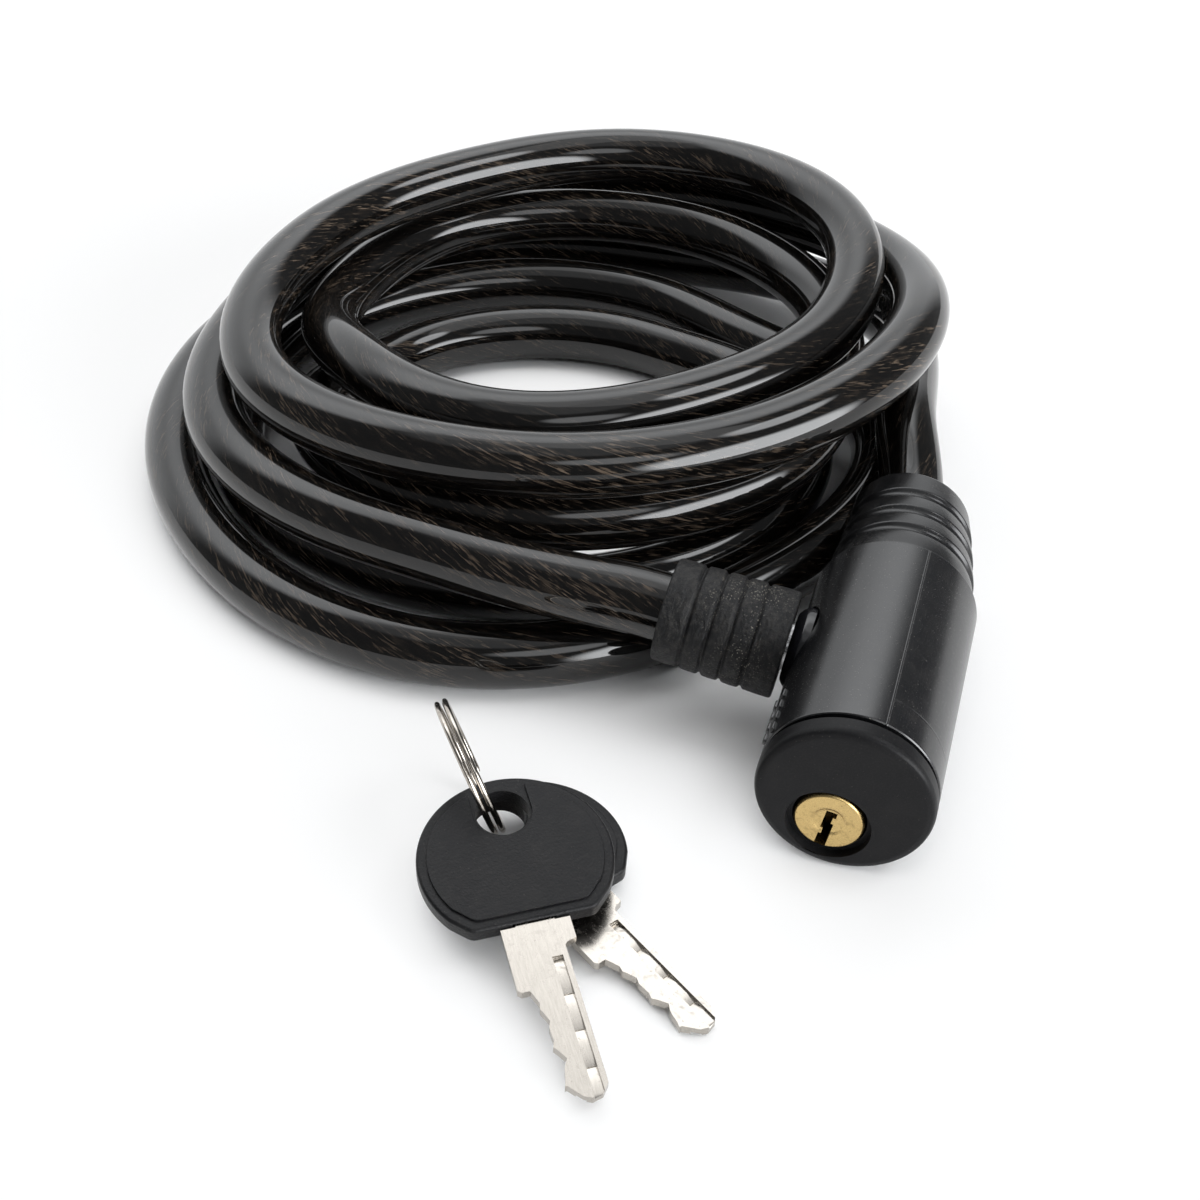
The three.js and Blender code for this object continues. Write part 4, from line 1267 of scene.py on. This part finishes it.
@dataclass
class BoltEnd:
    """The steel bolt and the ribbed boot that grips the cable behind it."""

    boot: Corner = (9.3, 8.9)
    start: float = 15.7
    end: float = 37.0
    ferrule: float = 7.0
    flange: Corner = (17.2, 18.8)
    radius: float = 4.2

    def grip(self) -> None:
        """The dusty boot, with a wide smooth rim at the cable's end."""
        bore, hole, seat = LockHead.boot_bore(), self.radius + GAP, self.ferrule + GAP
        a, b = self.start, self.end
        sides = ribs(self.boot, a, b, (5.5, 3.7, 3.5, 3.7, 4.9), 0.9, 0.45, (0.3, 0.6))
        obj = Bench.turned(
            "bolt_boot_cover",
            [
                (hole, a + 0.8), (hole, a), *sides, (bore + 0.5, b, 0.4), (bore, b - 1),
                (bore, FERRULE_END), (seat, FERRULE_END),
                (seat, self.flange[0] - GAP), (hole, self.flange[0] - GAP),
            ],
            closed=True,
        )
        dusty = DUSTY_RUBBER.dress("dusty_boot", BOLT)
        finish(obj, BOLT, "bolt_end", dusty, ["bolt_boot"])

    def pin(self) -> None:
        """The bolt itself, with the groove that the latch holds."""
        r, (a, b) = self.radius, self.flange
        obj = Bench.turned("bolt", [
            (0, -3), (r - 0.9, -3, 0.3), (r, -2.4, 0.3), (r, -1.9, 0.15), (2.7, -1.9, 0.25),
            (2.7, 1.9, 0.25), (r, 1.9, 0.15), (r, a), (self.ferrule, a), (self.ferrule, b), (0, b),
        ])
        finish(obj, BOLT, "bolt_end", STEEL.dress("bolt_steel", BOLT), ["bolt_pin"])

    def build(self) -> None:
        """Make the boot and the bolt."""
        self.grip()
        self.pin()


# --- keys


@dataclass
class Keys:
    """Two keys with moulded bows on a split ring."""

    bow: float = 15.1
    chord: float = 11.6
    corner: float = 2.8
    thick: float = 2.8
    panel: float = 0.4
    inset: float = 1.6
    hole: float = 4.2
    hole_off: float = 8.4
    land: float = 0.35
    end: float = 41.1
    shank: float = 10.6
    shoulder: float = 22.8
    step: float = 16.1
    spine: float = 3.4
    ring: float = 11.0
    ring_middle: tuple[float, float, float] = (-58.6, -6.0, 11.55)
    ring_axis: tuple[float, float, float] = (0.782, 0.56, 0.274)

    def place(self, hole: Point, heading: float, slope: float) -> Matrix:
        """Where a key lies, from its hole's place on the ring.

        Args:
            hole: middle of its hole from the ring's, in radii of the ring.
            heading: its turn on the table, in degrees.
            slope: how far its blade is sunk, in degrees.

        Returns:
            The key's place.
        """
        middle = Vector(self.ring_middle) + Vector(hole) * self.ring
        turned = turn(heading, "Z") @ turn(slope, "Y")
        return LOCK @ Matrix.Translation(middle * MM) @ turned @ shift(self.hole_off, 0, 0)

    def outline(self, inset: float) -> list[Corner]:
        """The bow's outline, drawn in by so much."""
        r, c = self.bow - inset, self.chord - inset
        w = math.acos((c - self.corner) / r)
        n = 72
        turned = [w + (2 * math.pi - 2 * w) * i / n for i in range(n + 1)]
        made = [(r * math.cos(t), r * math.sin(t)) for t in turned]
        y = made[0][1] - self.corner
        return rounded([*made, (c, -y, 0.8), (c, y, 0.8), made[0]])[:-1]

    def make_bow(self) -> Thing:
        """The moulded bow: rim, raised panel and the ring's hole."""
        rim = Bench.slab("key_bow", self.outline(0), -self.thick / 2, self.thick / 2)
        Bench.bevel(rim, 0.55, 4)
        half = self.thick / 2 + self.panel
        panel = Bench.slab("panel", self.outline(self.inset), -half, half)
        clear = self.hole + self.land
        Bench.cut(
            panel,
            Bench.rod("land", clear, -9, 9, shift(-self.hole_off, 0, 0), 72),
            Bench.block("mouth", (-self.bow, -clear, -9), (-self.hole_off, clear, 9)),
        )
        Bench.bevel(panel, 0.3, 3, 60)
        Bench.cut(rim, panel, how="UNION")
        Bench.cut(rim, Bench.rod("hole", self.hole, -9, 9, shift(-self.hole_off, 0, 0), 72))
        pocket = BLADE[1] / 2 + GAP
        Bench.cut(rim, Bench.block("pocket", (1.7, -3.3, -pocket), (self.bow, 3.3, pocket)))
        return rim

    def blade_outline(self) -> list[Corner]:
        """Tang, shank, spine, tip and the five cuts."""
        cuts = (0.9, 1.6, 1.3, 2.4, 1.3)
        edge = self.spine - BLADE[0]
        start = self.chord + GAP
        room = (self.end - self.shoulder - 2.6) / len(cuts)
        half, s = self.shank / 2, self.spine
        step, tip, stop = self.step, self.end, self.shoulder
        made = [
            (2, 3), (start, 3), (start, half), (step - 0.5, half), (step, s + 0.4), (step + 0.4, s),
            (tip - 1.8, s), (tip - 0.4, s - 1.1), (tip, s - 2.7), (tip - 0.5, s - 3.9),
            (tip - 2.6, edge + cuts[-1]),
        ]
        for i in range(len(cuts) - 1, -1, -1):
            x = stop + 0.2 + room * i
            before = cuts[i - 1] if i else 0
            made += [
                (x + room * 0.95, edge + cuts[i] * 0.75),
                (x + room * 0.65, edge + cuts[i]),
                (x + room * 0.2, edge + (cuts[i] + before) * 0.42),
            ]
        return made + [
            (stop, edge), (stop, 0.5 - half), (stop - 0.5, -half),
            (start, -half), (start, -3), (2, -3),
        ]

    def make_blade(self) -> Thing:
        """The flat blade, milled on both faces."""
        t = BLADE[1] / 2
        obj = Bench.slab("key_blade", self.blade_outline(), -t, t)
        a, b, c, d = (self.spine - BLADE[0] * part for part in MILLED)
        facets = [
            Bench.put(
                Bench.block("facet", (-1.5, b + 0.02, 0), (1.5, a - 0.02, 2)),
                shift(self.step + 3.6 + 3 * i, 0, t - 0.5) @ turn(11 if i % 2 else -11, "Y"),
            )
            for i in range(8)
        ]
        Bench.cut(
            obj,
            Bench.block("upper_mill", (self.step + 2, b, t - 0.45), (self.end + 1, a, 2)),
            Bench.block("lower_mill", (self.step + 2, d, -2), (self.end + 1, c, 0.45 - t)),
            *facets,
        )
        Bench.bevel(obj, 0.09, 2, 30)
        return obj

    def split_ring(self) -> None:
        """The ring's two flat turns, stepping over where both ends stop."""
        axis = Vector(self.ring_axis).normalized()
        tipped = Vector((0, 1, 0)).rotation_difference(axis).to_matrix().to_4x4()
        place = LOCK @ shift(*self.ring_middle) @ tipped
        pitch = 1.32  # from one turn's middle to the other's
        line = []
        for a in range(30, 691, 3):
            u = min(max((a - 330) / 60, 0), 1)
            u = u * u * (3 - 2 * u)
            w = math.radians(a + 270)
            spot = (self.ring * math.cos(w), (u - 0.5) * pitch, self.ring * math.sin(w))
            line.append(place @ (Vector(spot) * MM))
        obj = sweep("key_ring", line, (0.7 * MM, 0.5 * MM), 20, axis, 0.3)
        plated = RING_NICKEL.dress("ring_nickel", place)
        finish(obj, Matrix(), "key_set", plated, ["split_ring"])

    def build(self) -> None:
        """Make one key, copy it, and hang both on the ring."""
        places = {
            "key_1": self.place((0.7329, -0.7163, -0.1358), -57.7, 8.6),
            "key_2": self.place((0.5471, -0.3652, -0.6526), -34.8, 3.9),
        }
        bow, blade = self.make_bow(), self.make_blade()
        for name, where in places.items():
            one = Bench.copy(bow, f"{name}_grip")
            coat = GRAINED.dress(f"{name}_grained", where)
            finish(one, where, name, coat, [f"{name}_bow"])
            one = Bench.copy(blade, f"{name}_steel")
            coat = NICKEL.dress(f"{name}_nickel", where)
            finish(one, where, name, coat, [f"{name}_blade"], 25)
        bpy.data.objects.remove(bow)
        bpy.data.objects.remove(blade)
        self.split_ring()


# --- insides


class Insides:
    """The solids inside the head, dressed as they are."""

    finishes = {
        "inner_zinc": (ZINC, HEAD, ("lock_core", "head_ferrule", "bolt_ferrule")),
        "inner_brass": (BRASS, PLUG, tuple(f"wafer_{i}" for i in range(1, 6))),
        "inner_steel": (
            STEEL, HEAD,
            ("cross_pin", "plug_clip", "plug_cam", "latch", "eject_plunger"),
        ),
    }

    @staticmethod
    def spring(node: str, body: str, near: Point, far: Point, radius: float, curls: int) -> None:
        """Wind a spring from its near end to its far end.

        Args:
            node: the solid that it stands for.
            body: the body that presses on it; not used.
            near: the end at that body, in the head's own place, in millimetres.
            far: the end that stays.
            radius: its radius to the wire's middle.
            curls: how many turns it has.
        """
        a, b = Vector(near), Vector(far)
        axis = (b - a).normalized()
        side = axis.orthogonal().normalized()
        other = axis.cross(side)
        steps = curls * 24
        line = []
        for i in range(steps + 1):
            w = 2 * math.pi * curls * i / steps
            at = a.lerp(b, i / steps) + (side * math.cos(w) + other * math.sin(w)) * radius
            line.append(HEAD @ (at * MM))
        wire = 0.25 * MM
        obj = sweep(f"{node}_wire", line, (wire, wire), 10, HEAD.to_3x3() @ axis, 0.2)
        steel = STEEL.dress(f"{node}_steel", HEAD)
        finish(obj, Matrix(), None, steel, [node], 60)
        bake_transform(obj)

    def build(self) -> None:
        """Give each inner solid its metal, and wind both springs."""
        top, bottom = ((0, BOLT_AT, z) for z in (-7.45, -10.76))
        self.spring("latch_spring", "latch", top, bottom, 1.8, 5)
        near, far = ((x, BOLT_AT, 0) for x in (6.85, 10.15))
        self.spring("eject_spring", "ejector", near, far, 3.3, 4)
        for name, (metal, where, nodes) in self.finishes.items():
            material = metal.dress(name, where)
            for node in nodes:
                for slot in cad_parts[node].material_slots:
                    slot.material = material
                log.info("%s is %s", node, name)


def main() -> None:
    """Build the view, the cable and the lock."""
    logging.basicConfig(level=logging.INFO, format="%(name)s: %(message)s")
    studio = Studio()
    studio.camera()
    Cable().build()
    LockHead().build()
    Plug().build()
    BoltEnd().build()
    Keys().build()
    Insides().build()
    studio.build()


if __name__ == "__main__":
    main()
